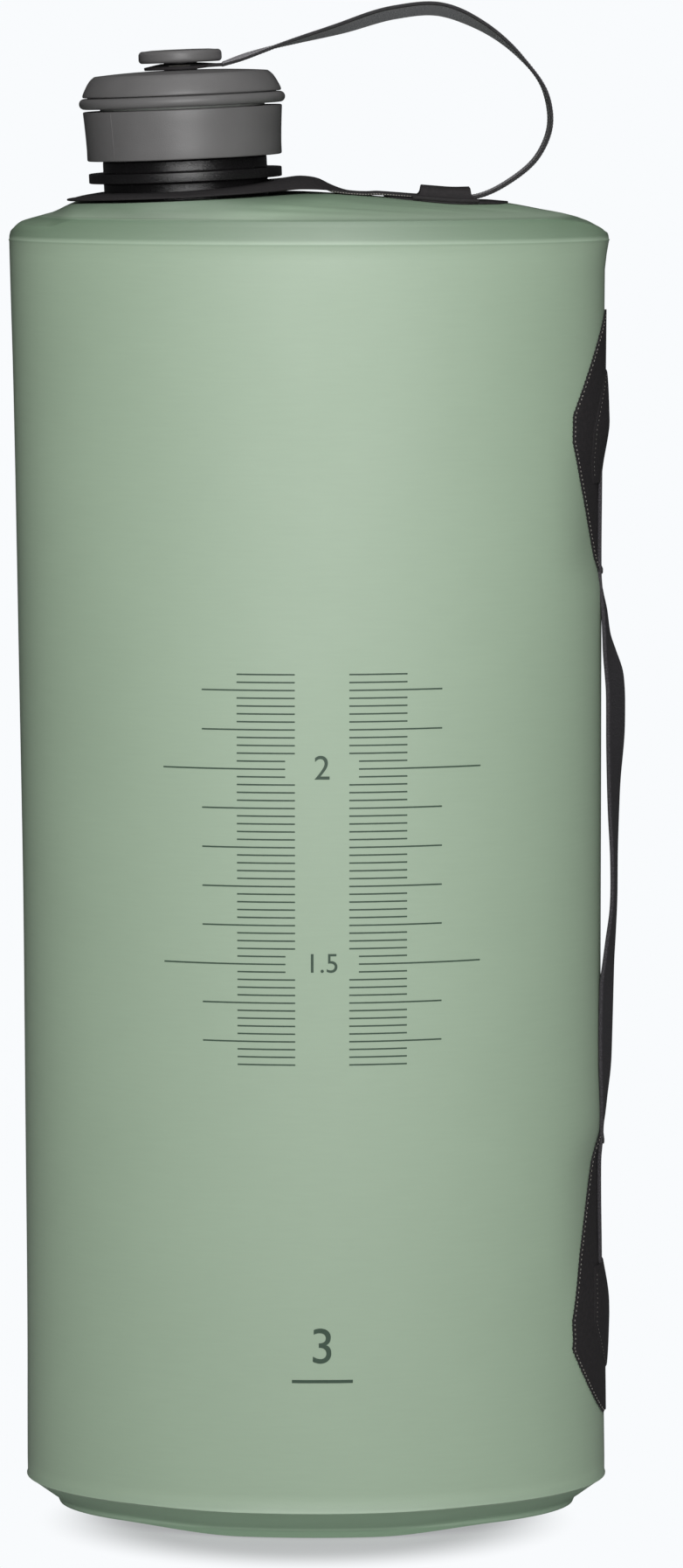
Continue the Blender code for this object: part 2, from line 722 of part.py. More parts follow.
def neck_strap(finish):
    """The plate that the neck's flange holds down, and its arm to the keeper."""
    face, back = [], []
    for i in range(ROUND_STEPS):
        turn = 2 * math.pi * i / ROUND_STEPS
        low, high = [], []
        for step in range(PLATE_COLUMNS + 1):
            radius = COLLAR_HOLE + (plate_edge(turn) - COLLAR_HOLE) * step / PLATE_COLUMNS
            x = NECK_OFFSET + radius * math.cos(turn)
            y = radius * math.sin(turn)
            low.append(on_plate(x, y, 0))
            high.append(on_plate(x, y, PLATE_THICKNESS))
        face.append(high)
        back.append(low)
    plate = thick_sheet("neck_strap", finish, face, back, closed=True)
    first = NECK_OFFSET + ARM_START
    last = LEASH_JOIN - GAP / 2
    face, back = [], []
    for i in range(ARM_STEPS + 1):
        x = first + (last - first) * i / ARM_STEPS
        across = [LEASH_WIDTH / 2 * side for side in (-1, -0.5, 0, 0.5, 1)]
        back.append([on_plate(x, y, TRIM) for y in across])
        face.append([on_plate(x, y, PLATE_THICKNESS - TRIM) for y in across])
    join(plate, thick_sheet("plate_arm", finish, face, back))
    return plate


def top_patch(finish):
    """The pad welded to the top panel under the keeper."""
    half = TOP_PATCH_WIDTH / 2
    length = TOP_PATCH_END - TOP_PATCH_START
    rows = 2 * PATCH_COLUMNS
    face, back = [], []
    for i in range(rows + 1):
        turn = math.pi * i / rows
        x = TOP_PATCH_START + length * (1 - math.cos(turn)) / 2
        to_end = min(x - TOP_PATCH_START, TOP_PATCH_END - x) / half
        reach = half * math.sqrt(max(1 - (1 - min(to_end, 1)) ** 2, 0)) + PATCH_TIP
        across = [reach * side for side in (-1, -0.5, 0, 0.5, 1)]
        face.append([on_top(x, y, GAP + TOP_PATCH_THICKNESS) for y in across])
        back.append([on_top(x, y, GAP) for y in across])
    return thick_sheet("top_patch", finish, face, back)


def strap_keeper(finish):
    """The band over the leash: two flared feet on the patch and a flat roof."""
    foot = GAP + TOP_PATCH_THICKNESS + GAP
    roof = foot + LEASH_THICKNESS + GAP
    inside = LEASH_WIDTH / 2 + GAP
    outside = inside + KEEPER_THICKNESS
    stations = [
        (-outside - KEEPER_FOOT, foot, foot + KEEPER_THICKNESS, KEEPER_FLARE),
        (-outside, foot, foot + KEEPER_THICKNESS, KEEPER_FLARE / 4),
        (-inside, roof, roof + KEEPER_THICKNESS, 0),
        (inside, roof, roof + KEEPER_THICKNESS, 0),
        (outside, foot, foot + KEEPER_THICKNESS, KEEPER_FLARE / 4),
        (outside + KEEPER_FOOT, foot, foot + KEEPER_THICKNESS, KEEPER_FLARE),
    ]
    face, back = [], []
    for y, low, high, flare in stations:
        first = KEEPER_START - flare
        length = KEEPER_LENGTH + 2 * flare
        places = [first + length * i / EDGE_STEPS for i in range(EDGE_STEPS + 1)]
        face.append([on_top(x, y, high) for x in places])
        back.append([on_top(x, y, low) for x in places])
    return thick_sheet("strap_keeper", finish, face, back)


def leaf_rows(tip, widest, end, half_width, taper):
    """(height, half width) rows of a leaf that is widest between two tips."""
    rows = []
    for first, last in ((tip, widest), (end, widest)):
        shares = [(i / PATCH_ROWS) ** 1.6 for i in range(PATCH_ROWS + 1)]
        part = [
            (first + (last - first) * s, PATCH_TIP + (half_width - PATCH_TIP) * s**taper)
            for s in shares
        ]
        rows += part if not rows else part[-2::-1]
    return rows


def side_leaf(name, finish, rows, low, high, crown=0.0):
    """A leaf-shaped layer on the handle's side, flat or thicker along its middle."""
    shares = [2 * k / PATCH_COLUMNS - 1 for k in range(PATCH_COLUMNS + 1)]
    widest = max(half for _, half in rows)
    face, back = [], []
    for height, half in rows:
        bulge = crown * half / widest
        face.append([on_side(half * s, height, high + bulge * (1 - s * s)) for s in shares])
        back.append([on_side(half * s, height, low) for s in shares])
    return thick_sheet(name, finish, face, back)


def handle_patches(finish):
    low, high = PATCH_LIFT, PATCH_LIFT + PATCH_THICKNESS
    rows = leaf_rows(
        UPPER_PATCH_TIP, UPPER_PATCH_WIDEST, UPPER_PATCH_END, PATCH_HALF_WIDTH, UPPER_TAPER_SHARE
    )
    side_leaf("upper_patch", finish, rows, low, high)
    rows = leaf_rows(
        LOWER_PATCH_TIP, LOWER_PATCH_WIDEST, LOWER_PATCH_END, PATCH_HALF_WIDTH, LOWER_TAPER_SHARE
    )
    side_leaf("lower_patch", finish, rows, low, high)


def cover_low():
    return PATCH_LIFT + PATCH_THICKNESS + GAP


def cover_rows(widest, direction):
    """Rows of a cover, from its tip to the edge that is cut straight at the webbing."""
    rows = []
    for i in range(PATCH_ROWS + 1):
        share = i / PATCH_ROWS
        half = PATCH_TIP + (COVER_HALF_WIDTH - PATCH_TIP) * math.sqrt(share)
        rows.append((widest + direction * COVER_REACH * (1 - share), half))
    for i in range(1, PATCH_ROWS):
        share = i / (PATCH_ROWS - 1)
        half = COVER_HALF_WIDTH + (COVER_CUT_HALF_WIDTH - COVER_HALF_WIDTH) * share**2
        rows.append((widest - direction * COVER_CUT_REACH * share, half))
    return rows


def handle_covers(finish):
    low = cover_low()
    high = low + COVER_THICKNESS
    for name, widest, direction in (
        ("upper_cover", UPPER_COVER_WIDEST, 1),
        ("lower_cover", LOWER_COVER_WIDEST, -1),
    ):
        side_leaf(name, finish, cover_rows(widest, direction), low, high, COVER_CROWN)


def handle_ends():
    """The heights where the webbing meets the two covers."""
    bottom = LOWER_COVER_WIDEST + COVER_CUT_REACH + GAP
    top = UPPER_COVER_WIDEST - COVER_CUT_REACH - GAP
    return bottom, top


def handle_seat():
    """How far the webbing's middle lies outside the wall at its sewn ends."""
    return cover_low() + HANDLE_THICKNESS / 2


def handle_at(height):
    """The webbing's stand-off from the wall and its twist at a height."""
    bottom, top = handle_ends()
    bow, twist = between(HANDLE_ROUTE_SHARES, (height - bottom) / (top - bottom))
    return handle_seat() + HANDLE_BOW * bow, HANDLE_TWIST * twist


def handle_half(height):
    """Half the webbing's width, which is gathered where it is sewn to the patches."""
    free = min(height - LOWER_TACK, UPPER_TACK - height) / HANDLE_GATHER
    share = min(max(free, 0), 1)
    return (HANDLE_END_WIDTH + (HANDLE_WIDTH - HANDLE_END_WIDTH) * share) / 2


def handle_webbing(finish):
    """The webbing that bows off the wall between the two patches."""
    bottom, top = handle_ends()
    centres, sides = [], []
    for i in range(HANDLE_STEPS + 1):
        height = bottom + (top - bottom) * i / HANDLE_STEPS
        stand_off, twist = handle_at(height)
        centres.append(on_wall(0, height, stand_off))
        side = Vector((math.sin(twist), math.cos(twist), 0))
        sides.append(side * handle_half(height))
    directions = [Vector((0, 0, 1))] * len(centres)
    return strap("handle_webbing", finish, centres, directions, sides, HANDLE_THICKNESS)


def bar_tacks(finish):
    """The two bars of thread that end the sewing on the webbing."""
    half = HANDLE_END_WIDTH / 2 - TACK_INSET
    for name, middle in (("upper_bar_tack", UPPER_TACK), ("lower_bar_tack", LOWER_TACK)):
        centres, sides = [], []
        for height in (middle - TACK_HEIGHT / 2, middle + TACK_HEIGHT / 2):
            stand_off, twist = handle_at(middle)
            lift = stand_off + HANDLE_THICKNESS / 2 + GAP + TACK_THICKNESS / 2
            centres.append(on_wall(0, middle, lift) + Vector((0, 0, height - middle)))
            sides.append(Vector((math.sin(twist), math.cos(twist), 0)) * half)
        directions = [Vector((0, 0, 1))] * len(centres)
        strap(name, finish, centres, directions, sides, TACK_THICKNESS)


def main():
    clear_scene()
    film = material("sage_film", "#9DAF9A", 0.55)
    neck = material("black_neck", "#1C1A1B", 0.25)
    cap = material("grey_cap", "#5A5B5B", 0.5)
    seal = material("clear_silicone", "#C9CCC8", 0.4)
    webbing = material("charcoal_webbing", "#39363A", 0.85)
    coated = material("coated_sheet", "#242124", 0.6)

    axis = bpy.data.objects.new("neck_axis", None)
    bpy.context.scene.collection.objects.link(axis)
    axis.matrix_world = NECK_FRAME

    film_wall("back_panel", film, 0, 1)
    film_wall("front_panel", film, math.pi, -1)
    top_gusset(film)
    bottom_gusset(film)

    neck_spout(neck, axis)
    cap_skirt(cap, axis)
    cap_crown(cap, axis)
    grip_ring(cap, axis)
    cap_gasket(seal, axis)
    leash_stud(cap, axis)

    leash_eye(coated, axis)
    leash_strap(webbing)
    neck_strap(coated)
    top_patch(coated)
    strap_keeper(coated)

    handle_patches(coated)
    handle_covers(coated)
    handle_webbing(webbing)
    bar_tacks(webbing)


main()
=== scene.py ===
import json
import math

import bmesh
import bpy
from mathutils import Matrix, Vector, noise


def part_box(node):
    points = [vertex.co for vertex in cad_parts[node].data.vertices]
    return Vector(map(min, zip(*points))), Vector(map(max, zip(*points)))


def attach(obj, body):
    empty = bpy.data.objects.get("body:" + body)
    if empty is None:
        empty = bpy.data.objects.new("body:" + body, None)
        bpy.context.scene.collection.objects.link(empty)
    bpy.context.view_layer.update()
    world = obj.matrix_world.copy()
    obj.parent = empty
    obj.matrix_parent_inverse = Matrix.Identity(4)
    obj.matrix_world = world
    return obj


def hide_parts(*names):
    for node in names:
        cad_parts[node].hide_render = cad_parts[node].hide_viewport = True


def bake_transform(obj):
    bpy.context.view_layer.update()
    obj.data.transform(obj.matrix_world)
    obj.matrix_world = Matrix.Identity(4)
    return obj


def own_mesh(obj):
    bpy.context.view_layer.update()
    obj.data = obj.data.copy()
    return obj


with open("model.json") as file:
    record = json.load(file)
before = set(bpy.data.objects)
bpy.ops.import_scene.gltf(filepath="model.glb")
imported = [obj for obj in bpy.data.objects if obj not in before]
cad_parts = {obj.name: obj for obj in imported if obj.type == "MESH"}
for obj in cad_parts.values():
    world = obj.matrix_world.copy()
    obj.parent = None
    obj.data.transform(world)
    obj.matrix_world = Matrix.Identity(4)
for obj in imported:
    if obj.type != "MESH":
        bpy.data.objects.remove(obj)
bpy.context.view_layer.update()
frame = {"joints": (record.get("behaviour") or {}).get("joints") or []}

# The looks of a soft water carrier: a sage film pouch that stands by itself, a black moulded
# neck with a grey screw cap, a leash that keeps the cap and a webbing handle down one side.
# Metres throughout. The front faces -Y and the handle is on the +X side.

GAP = 0.0003
MERGE_DISTANCE = 0.000002

# Pouch
HALF_WIDTH = 0.078
HALF_DEPTH = 0.040
LEAN = 0.0022
RIM_HEIGHT = 0.3463
RIM_TOP = 0.3471
FILM = 0.0008
WELD_BAND = 0.0051
SEAM_HEIGHT = RIM_HEIGHT - WELD_BAND
WAIST = 0.0011
BELLY = 0.0015
TUCK_RISE = 0.0102
BASE_FLAT_INSET = 0.0105
WELD_INSET = FILM + GAP
RIM_ROUND = 0.0038
RIM_PUFF = 0.0014
SEAT_HEIGHT = 0.352
SEAT_RADIUS = 0.0325
NECK_HOLE = 0.0217
DOME_POWER = 1.2
SIDES = 224
WALL_ROWS = 84
DOME_ROWS = 26
# The wall's section, as (how far outside the plain wall, height): its foot, then its weld
# above the seam, then its rim over RIM_TOP
FOOT_SECTION = [
    (-0.0086, 0.0001), (-0.0084, 0.0006), (-0.0080, 0.0018), (-0.0077, 0.0023),
    (-0.0060, 0.0037), (-0.0040, 0.0055), (-0.0020, 0.0073), (-0.0004, 0.0087),
    (0.00018, 0.0091), (0.00018, 0.0094), (-0.00005, 0.0098),
]
WELD_SECTION = [
    (0, -0.0004), (0.00013, 0), (0.00014, 0.0003), (0.00002, 0.0007), (-0.0001, 0.002),
]
RIM_SECTION = [(-0.0001, -0.0016), (-0.0002, -0.0006), (-0.0004, 0)]
# The base's skirt, as (how far inside the wall, height)
BASE_SECTION = [(0, 0.0114), (0.0003, 0.0103), (0.0085, 0.0024), (0.0090, 0.0008)]

# Where the film leaves its plain form. Each pair runs from no effect to the full one.
DENT = 0.0017
DENT_ACROSS = (0.024, 0.009)
DENTS = [((0.2945, 0.2790), (0.2480, 0.2600)), ((0.0565, 0.0740), (0.1080, 0.0960))]
RIDGE = 0.0010
RIDGE_ALONG = [(0.036, 0.048), (0.064, 0.052)]
RIDGE_ACROSS = (0.018, 0.002)
# Side, depth, start, length and power of the rim's fall at its two ends
DROOPS = [(1, 0.0046, 0.0600, 0.0180, 2.8), (-1, 0.0026, 0.0745, 0.0035, 2)]
SHOULDER_DROOP = 0.0020
SHOULDER_ALONG = (0.0595, 0.0670)
FLARE = 0.0010
FLARE_ALONG = (0.066, 0.077)
FLARE_UP = (0.334, 0.3415)
FOOT_RISE = 0.0018
FOOT_RISE_ALONG = (0.018, 0.050)
FOOT_RISE_HEIGHT = 0.012
# Depth of the film's unevenness, the spacing of its waves and a seed
WALL_RIPPLES = [(0.0003, (0.06, 0.06, 0.09), 3.1), (0.00003, (0.012, 0.012, 0.07), 7.7)]
TOP_RIPPLES = [(0.00022, (0.06, 0.003, 0.0015), 1.7), (0.00015, (0.04, 0.006, 0.004), 9.2)]
CALM_BAND = 0.03

# Neck and cap, along the neck's own axis
CAP_TURN = next(joint for joint in frame["joints"] if joint["name"] == "cap_turn")
NECK_PLACE = Vector(CAP_TURN["pos_m"])
NECK_AXIS = Vector(CAP_TURN["axis"])
NECK_OFFSET = NECK_PLACE.x
NECK_LEAN = math.atan2(-NECK_AXIS.x, NECK_AXIS.z)
NECK = Matrix.Translation(NECK_PLACE) @ Matrix.Rotation(-NECK_LEAN, 4, "Y")
ROUND_SIDES = 160
CAP_SIDES = 192
STUD_SIDES = 128
THREAD_PITCH = 0.004
THREAD_ROOT = 0.0011
THREAD_CREST = 0.0005
THREAD_STEPS = 96
MOUTH_RADIUS = 0.0203
CAP_BORE_RADIUS = 0.0220
SKIRT_BOTTOM = 0.01036
SKIRT_TOP = 0.02313
SKIRT_RADIUS = 0.0254
SKIRT_FLARE = 0.0006
CROWN_BOTTOM = 0.0240
CROWN_TOP = 0.0330
BUTTON_BOTTOM = 0.0349
EYE_THICKNESS = 0.0013
EYE_SHEET = 0.0008
EYE_STUB = 0.0113
EYE_BORE = 0.00465
EYE_RADIUS = 0.0095
EYE_SEAM = 0.0084
# The eye's lift off the crown at its rim, what the side next to the leash adds, and at the stem
EYE_RIM_LIFT = 0.00045
EYE_TAB_LIFT = 0.0005
EYE_STEM_LIFT = 0.00135
EYE_CLIMB = 0.0045

# Leash
LEASH_WIDTH = 0.0120
LEASH_THICKNESS = 0.0009
LEASH_TWIST = math.radians(14)
LEASH_REACH = 0.040
LEASH_RISE = 0.030
LEASH_LANDING = 0.0440
LEASH_JOIN = 0.0361
# Share of the way from the eye to the patch, then shares of the reach and of the rise
LEASH_ROUTE_SHARES = [
    (0.09, 0.21, 0.26), (0.18, 0.46, 0.51), (0.27, 0.68, 0.755), (0.36, 0.82, 0.885),
    (0.45, 0.94, 0.85), (0.55, 1.03, 0.70), (0.64, 1.05, 0.49), (0.73, 0.93, 0.3),
    (0.82, 0.7, 0.14), (0.91, 0.38, 0.04),
]
# Share of the leash's length, then the share of its twist there
LEASH_TWIST_SHARES = [
    (0, -0.15), (0.04, -0.3), (0.08, -0.15), (0.12, 0.12), (0.19, 0.55), (0.27, 0.95),
    (0.36, 1), (0.45, 0.95), (0.51, 0.62), (0.57, 0.25), (0.63, -0.05), (0.7, 0.1),
    (0.8, 0.05), (1, 0),
]
PLATE_RADIUS = 0.0312
PLATE_POINT = 0.0380
PLATE_THICKNESS = 0.0012
PLATE_DROP = 0.8
ARM_START = 0.0335
ARM_THICKNESS = 0.0008
ARM_HUMP = 0.0031
# Share of the way from the neck to the leash, then shares of the hump and of the patch's lift
ARM_ROUTE_SHARES = [
    (-0.46, 0, 0), (-0.3, 0.33, 0), (0, 0.5, 0), (0.318, 0.82, 0), (0.368, 0.87, 0),
    (0.428, 1, 0), (0.466, 0.94, 0), (0.515, 0.74, 0), (0.559, 0.42, 0), (0.59, 0.2, 0),
    (0.62, 0.05, 0), (0.66, 0, 0), (0.7, 0, 0.3), (0.74, 0, 1), (1, 0, 1),
]

# Patch and keeper on the top panel
TOP_PATCH_START = 0.0200
TOP_PATCH_END = 0.0525
TOP_PATCH_WIDTH = 0.0190
TOP_PATCH_THICKNESS = 0.0004
KEEPER_START = 0.0296
KEEPER_LENGTH = 0.0130
KEEPER_FOOT = 0.0022
KEEPER_FLARE = 0.0022
KEEPER_THICKNESS = 0.0010

# Side handle. A patch is its tip, its widest height, its other end and its taper.
PATCH_HALF_WIDTH = 0.0200
PATCH_TIP = 0.0012
PATCH_LIFT = 0.00005
PATCH_THICKNESS = 0.0005
UPPER_PATCH = (0.3228, 0.2935, 0.2530, 0.6)
LOWER_PATCH = (0.0270, 0.0505, 0.1040, 0.45)
COVER_HALF_WIDTH = 0.0120
COVER_CUT_HALF_WIDTH = 0.0090
COVER_THICKNESS = 0.0004
COVER_CROWN = 0.0011
COVER_REACH = 0.0145
COVER_CUT_REACH = 0.0147
UPPER_COVER_WIDEST = 0.2925
LOWER_COVER_WIDEST = 0.0535
HANDLE_WIDTH = 0.0150
HANDLE_END_WIDTH = 0.0080
HANDLE_GATHER = 0.0200
HANDLE_THICKNESS = 0.0011
TACK_HEIGHT = 0.0012
UPPER_TACK = 0.2545
LOWER_TACK = 0.1015
# Share of the height, then the webbing's stand-off from the wall in mm and its twist in degrees
HANDLE_ROUTE = [
    (0, -0.85, 0), (0.13, -0.85, 0), (0.165, -0.1, 2), (0.185, 0.25, 6), (0.211, 0.6, 8.8),
    (0.242, 0.95, 11.9), (0.302, 1.2, 13.9), (0.363, 1.55, 14.1), (0.387, 1.96, 12.1),
    (0.419, 2.6, 10), (0.464, 3.41, 6.8), (0.524, 3.52, 7), (0.579, 3.4, 10.7),
    (0.619, 3.44, 13.5), (0.674, 3.8, 18.6), (0.714, 3.84, 19.4), (0.739, 3.7, 19),
    (0.759, 3.26, 17.9), (0.783, 2.15, 12.4), (0.803, 1.34, 7.7), (0.836, 0.66, 5.5),
    (0.858, -0.1, 3), (0.885, -0.8, 0), (1, -0.85, 0),
]

# Sewing
STITCH_PITCH = 0.00125
STITCH_RADIUS = 0.00019

# Printed scale of volume on the front: 50 lines to the litre, from step 62 to step 112
LITRE_HEIGHT = 0.1020
SCALE_START = 0.0030
SCALE_MIDDLE = 0.0040
SCALE_STEPS = range(62, 113)
STEPS_TO_LITRE = 50
HALF_LITRE_REACH = 0.041
TENTH_REACH = 0.031
LINE_REACH = 0.022
LINE_START = 0.0070
LINE_START_AT_NUMBER = 0.0095
STEPS_BESIDE_NUMBERS = (74, 76, 99, 101)
TICK_WIDTH = 0.0004
UNDERLINE = (0.0450, -0.008, 0.008)
UNDERLINE_WIDTH = TICK_WIDTH * 2.2
INK_LIFT = 0.00006
INK_START = 0.004
INK_REACH = 0.012

# The film's colour by its height, set for each feature: the base's fold, its slope lightened as
# painted light against its shade, the bright line of its weld, a painted highlight, and the wall
FOOT_TONES_AND_PAINTED_LIGHT = [
    (0.0001, "#87A288"), (0.0020, "#8BA68C"), (0.0026, "#A3BCA3"), (0.0034, "#90AB91"),
    (0.0086, "#93AE93"), (0.0092, "#A0B59E"), (0.0100, "#97AC95"), (0.0120, "#9BB098"),
]
# The wall; the bright line of the top weld, a painted highlight over a thin painted shadow; its
# band, partly deeper film and partly painted shade; the rim's crease, painted shade; and the top
# panel, lightened near the rim as painted light against its shade and darker towards the neck
# as painted shade
RIM_TONES_AND_PAINTED_LIGHT = [
    (0.3405, "#9BB098"), (0.3411, "#90A68E"), (0.3413, "#A2B7A0"), (0.3417, "#98AD96"),
    (0.3424, "#7D937C"), (0.3460, "#748B73"), (0.3470, "#6A826A"), (0.3478, "#9CB19A"),
    (0.3500, "#90A98F"), (0.3530, "#84A085"),
]
TOP_PANEL_START = 0.3474
PLATE_SHADE = (0.030, 0.044)
# The period of Blender's wave texture at scale 1
WAVE_PERIOD = 0.314
WARP_SHARE = 0.8
PALE = "#F9FBFD"
# Faces of a sheet that meet at less than this many degrees are shaded as one
SHEET_ANGLE = 60

# Stage: the view of the photograph, in metres, degrees and millimetres
VIEW_PLACE = (0.009, -1.385, 0.3968)
VIEW_DIP = 8.2
LENS = 121.1
SENSOR = 36
# The floor lies this far under the base
FLOOR_DROP = 0.0002


# Modelling


def deselect():
    bpy.ops.object.select_all(action="DESELECT")


def work_on(obj):
    deselect()
    obj.select_set(True)
    bpy.context.view_layer.objects.active = obj


def apply_modifier(obj, kind, **settings):
    """Adds a modifier with its settings and applies it."""
    work_on(obj)
    made = obj.modifiers.new(kind.lower(), kind)
    for name, value in settings.items():
        setattr(made, name, value)
    bpy.ops.object.modifier_apply(modifier=made.name)


MERGE = (bpy.ops.mesh.remove_doubles, {"threshold": MERGE_DISTANCE})
FILL = (bpy.ops.mesh.fill_holes, {"sides": 0})
FACE_OUTWARDS = (bpy.ops.mesh.normals_make_consistent, {"inside": False})


def edit_whole(obj, *steps):
    """Runs edit-mode operators, each with its settings, on all of a piece."""
    work_on(obj)
    bpy.ops.object.mode_set(mode="EDIT")
    for operator, settings in steps:
        bpy.ops.mesh.select_all(action="SELECT")
        operator(**settings)
    bpy.ops.object.mode_set(mode="OBJECT")


def place_on_neck(obj):
    """Takes a piece that was modelled upright at the origin to the neck's leaning axis."""
    work_on(obj)
    obj.matrix_world = NECK
    bpy.ops.object.transform_apply(location=True, rotation=True, scale=True)
    return obj


def stack(name, rings, sides):
    """A hollow piece drawn ring by ring: a circle, extruded and resized to each next ring.
    A ring is (half width, half depth, height, its middle's x); a last ring of no width closes."""
    deselect()
    wide, deep, height, middle = rings[0]
    bpy.ops.mesh.primitive_circle_add(vertices=sides, radius=1)
    obj = bpy.context.object
    obj.name = name
    obj.scale = (wide, deep, 1)
    obj.location = (middle, 0, height)
    bpy.ops.object.transform_apply(location=True, rotation=False, scale=True)
    bpy.ops.object.mode_set(mode="EDIT")
    bpy.ops.mesh.select_all(action="SELECT")
    for before, after in zip(rings, rings[1:]):
        step = (after[3] - before[3], 0, after[2] - before[2])
        bpy.ops.mesh.extrude_region_move(TRANSFORM_OT_translate={"value": step})
        if after[0] > 0:
            bpy.ops.transform.resize(
                value=(after[0] / before[0], after[1] / before[1], 1),
                center_override=(after[3], 0, after[2]),
            )
        else:
            bpy.ops.mesh.merge(type="CENTER")
    bpy.ops.object.mode_set(mode="OBJECT")
    edit_whole(obj, MERGE, FACE_OUTWARDS)
    return obj


def turned(name, profile, edge_round=0, sides=ROUND_SIDES, closed=True):
    """A turned, moulded piece on the neck's axis. Its (radius, height) profile is closed, or
    ends in two flat faces, and its corners are rounded by a bevel."""
    rings = [(radius, radius, height, 0) for radius, height in profile]
    obj = stack(name, rings + rings[:1] if closed else rings, sides)
    if not closed:
        edit_whole(obj, FILL, FACE_OUTWARDS)
    if edge_round:
        apply_modifier(
            obj, "BEVEL", width=edge_round, segments=3, limit_method="ANGLE",
            angle_limit=math.radians(28), harden_normals=False,
        )
    return place_on_neck(obj)


def arc(centre, radii, start, end, steps):
    """(radius, height) points on part of an ellipse, with its angles in degrees."""
    turns = [math.radians(start + (end - start) * i / steps) for i in range(steps + 1)]
    return [
        (centre[0] + radii[0] * math.cos(t), centre[1] + radii[1] * math.sin(t))
        for t in turns
    ]


def lay(name, columns, rows, size, place, ring=False):
    """A grid whose points go where place(across, along) says, each from 0 to 1. Its weave
    attribute keeps each point's place on the flat cloth, in metres. A ring's ends are joined."""
    deselect()
    bpy.ops.mesh.primitive_grid_add(x_subdivisions=columns, y_subdivisions=rows, size=1)
    obj = bpy.context.object
    obj.name = name
    weave = obj.data.attributes.new("weave", "FLOAT_VECTOR", "POINT")
    for vertex, flat in zip(obj.data.vertices, weave.data):
        across, along = vertex.co.x + 0.5, vertex.co.y + 0.5
        flat.vector = (across * size[0], along * size[1], 0)
        vertex.co = place(across, along)
    if ring:
        edit_whole(obj, MERGE)
    return obj


def thicken(obj, thickness, edge_round=0, side=0.0):
    """Gives a laid sheet its thickness, with rounded edges."""
    laid = len(obj.data.vertices)
    apply_modifier(obj, "SOLIDIFY", thickness=thickness, offset=side, use_even_offset=True)
    weave = obj.data.attributes.get("weave")
    if weave:
        for flat in weave.data[laid:]:
            flat.vector = flat.vector + Vector((thickness, 0, 0))
    if edge_round:
        apply_modifier(
            obj, "BEVEL", width=edge_round, segments=2, limit_method="ANGLE",
            angle_limit=math.radians(60),
        )
    edit_whole(obj, FACE_OUTWARDS)
    return obj


def limited(value):
    return min(max(value, 0), 1)


def curve_between(start, leaving, end, arriving, t):
    """A point, or a value, at t on the smooth curve between two, from 0 to 1."""
    return (
        start * (1 + 2 * t) * (1 - t) ** 2
        + leaving * t * (1 - t) ** 2
        + end * t**2 * (3 - 2 * t)
        + arriving * t**2 * (t - 1)
    )


def between(rows, share):
    """The values of a table at a share of the way, on a smooth curve through its rows. Each
    row starts with its own share."""
    last = len(rows) - 1
    first = sum(row[0] <= share for row in rows[1:last])
    start, end = rows[first], rows[first + 1]
    gap = end[0] - start[0]
    t = limited((share - start[0]) / gap)
    values = []
    for k in range(1, len(start)):
        slopes = [
            (rows[i + 1][k] - rows[i - 1][k]) / (rows[i + 1][0] - rows[i - 1][0])
            if 0 < i < last else 0
            for i in (first, first + 1)
        ]
        values.append(curve_between(start[k], slopes[0] * gap, end[k], slopes[1] * gap, t))
    return values


def eased(value, none, full):
    """0 at none, 1 at full, smooth between them."""
    t = limited((value - none) / (full - none))
    return t * t * (3 - 2 * t)


def smooth(points, count):
    """Evenly spaced points on a smooth curve through the given vectors."""
    gaps = [(b - a).length for a, b in zip(points, points[1:])]
    slopes = [(b - a) / gap for a, b, gap in zip(points, points[1:], gaps)]
    directions = [slopes[0]]
    for i in range(1, len(slopes)):
        mixed = slopes[i - 1] * gaps[i] + slopes[i] * gaps[i - 1]
        directions.append(mixed / (gaps[i - 1] + gaps[i]))
    directions.append(slopes[-1])
    curve, reached, first = [], 0, 0
    for step in range(count + 1):
        place = sum(gaps) * step / count
        while first < len(gaps) - 1 and place > reached + gaps[first]:
            reached += gaps[first]
            first += 1
        t = (place - reached) / gaps[first]
        leaving = directions[first] * gaps[first]
        arriving = directions[first + 1] * gaps[first]
        curve.append(curve_between(points[first], leaving, points[first + 1], arriving, t))
    return curve


def tangents(points):
    padded = [points[0]] + points + [points[-1]]
    return [(after - before).normalized() for before, after in zip(padded, padded[2:])]


def length_of(points):
    return sum((b - a).length for a, b in zip(points, points[1:]))


# The pouch's own surfaces


def swell(height):
    """0 at the pouch's rim and foot, 1 half way between them."""
    share = (height - TUCK_RISE) / (RIM_HEIGHT - TUCK_RISE)
    return math.sin(math.pi * limited(share))


def wall_axes(height, lift):
    """The wall's half width and half depth at a height, that far outside the film."""
    return (
        HALF_WIDTH - WAIST * swell(height) + lift,
        HALF_DEPTH + BELLY * swell(height) + lift,
    )


def lean(height):
    """How far the pouch stands to the handle's side at a height, from none at the rim."""
    return LEAN * (1 - height / RIM_HEIGHT)


def dent(across, height):
    """How far the film is drawn in at the sewn ends of the handle."""
    drawn = sum(min(eased(height, *first), eased(height, *second)) for first, second in DENTS)
    return DENT * drawn * eased(abs(across), *DENT_ACROSS)


def on_wall(angle, height, lift):
    """A point that far outside the wall; angle 0 is the handle's side."""
    half_width, half_depth = wall_axes(height, 0)
    out = Vector((half_depth * math.cos(angle), half_width * math.sin(angle), 0))
    x = half_width * math.cos(angle) + lean(height)
    return Vector((x, half_depth * math.sin(angle), height)) + out.normalized() * lift


def on_side(across, height, lift):
    """A point on the handle's side of the wall, at a distance from its middle line."""
    half_depth = wall_axes(height, 0)[1]
    return on_wall(math.asin(across / half_depth), height, lift - dent(across, height))


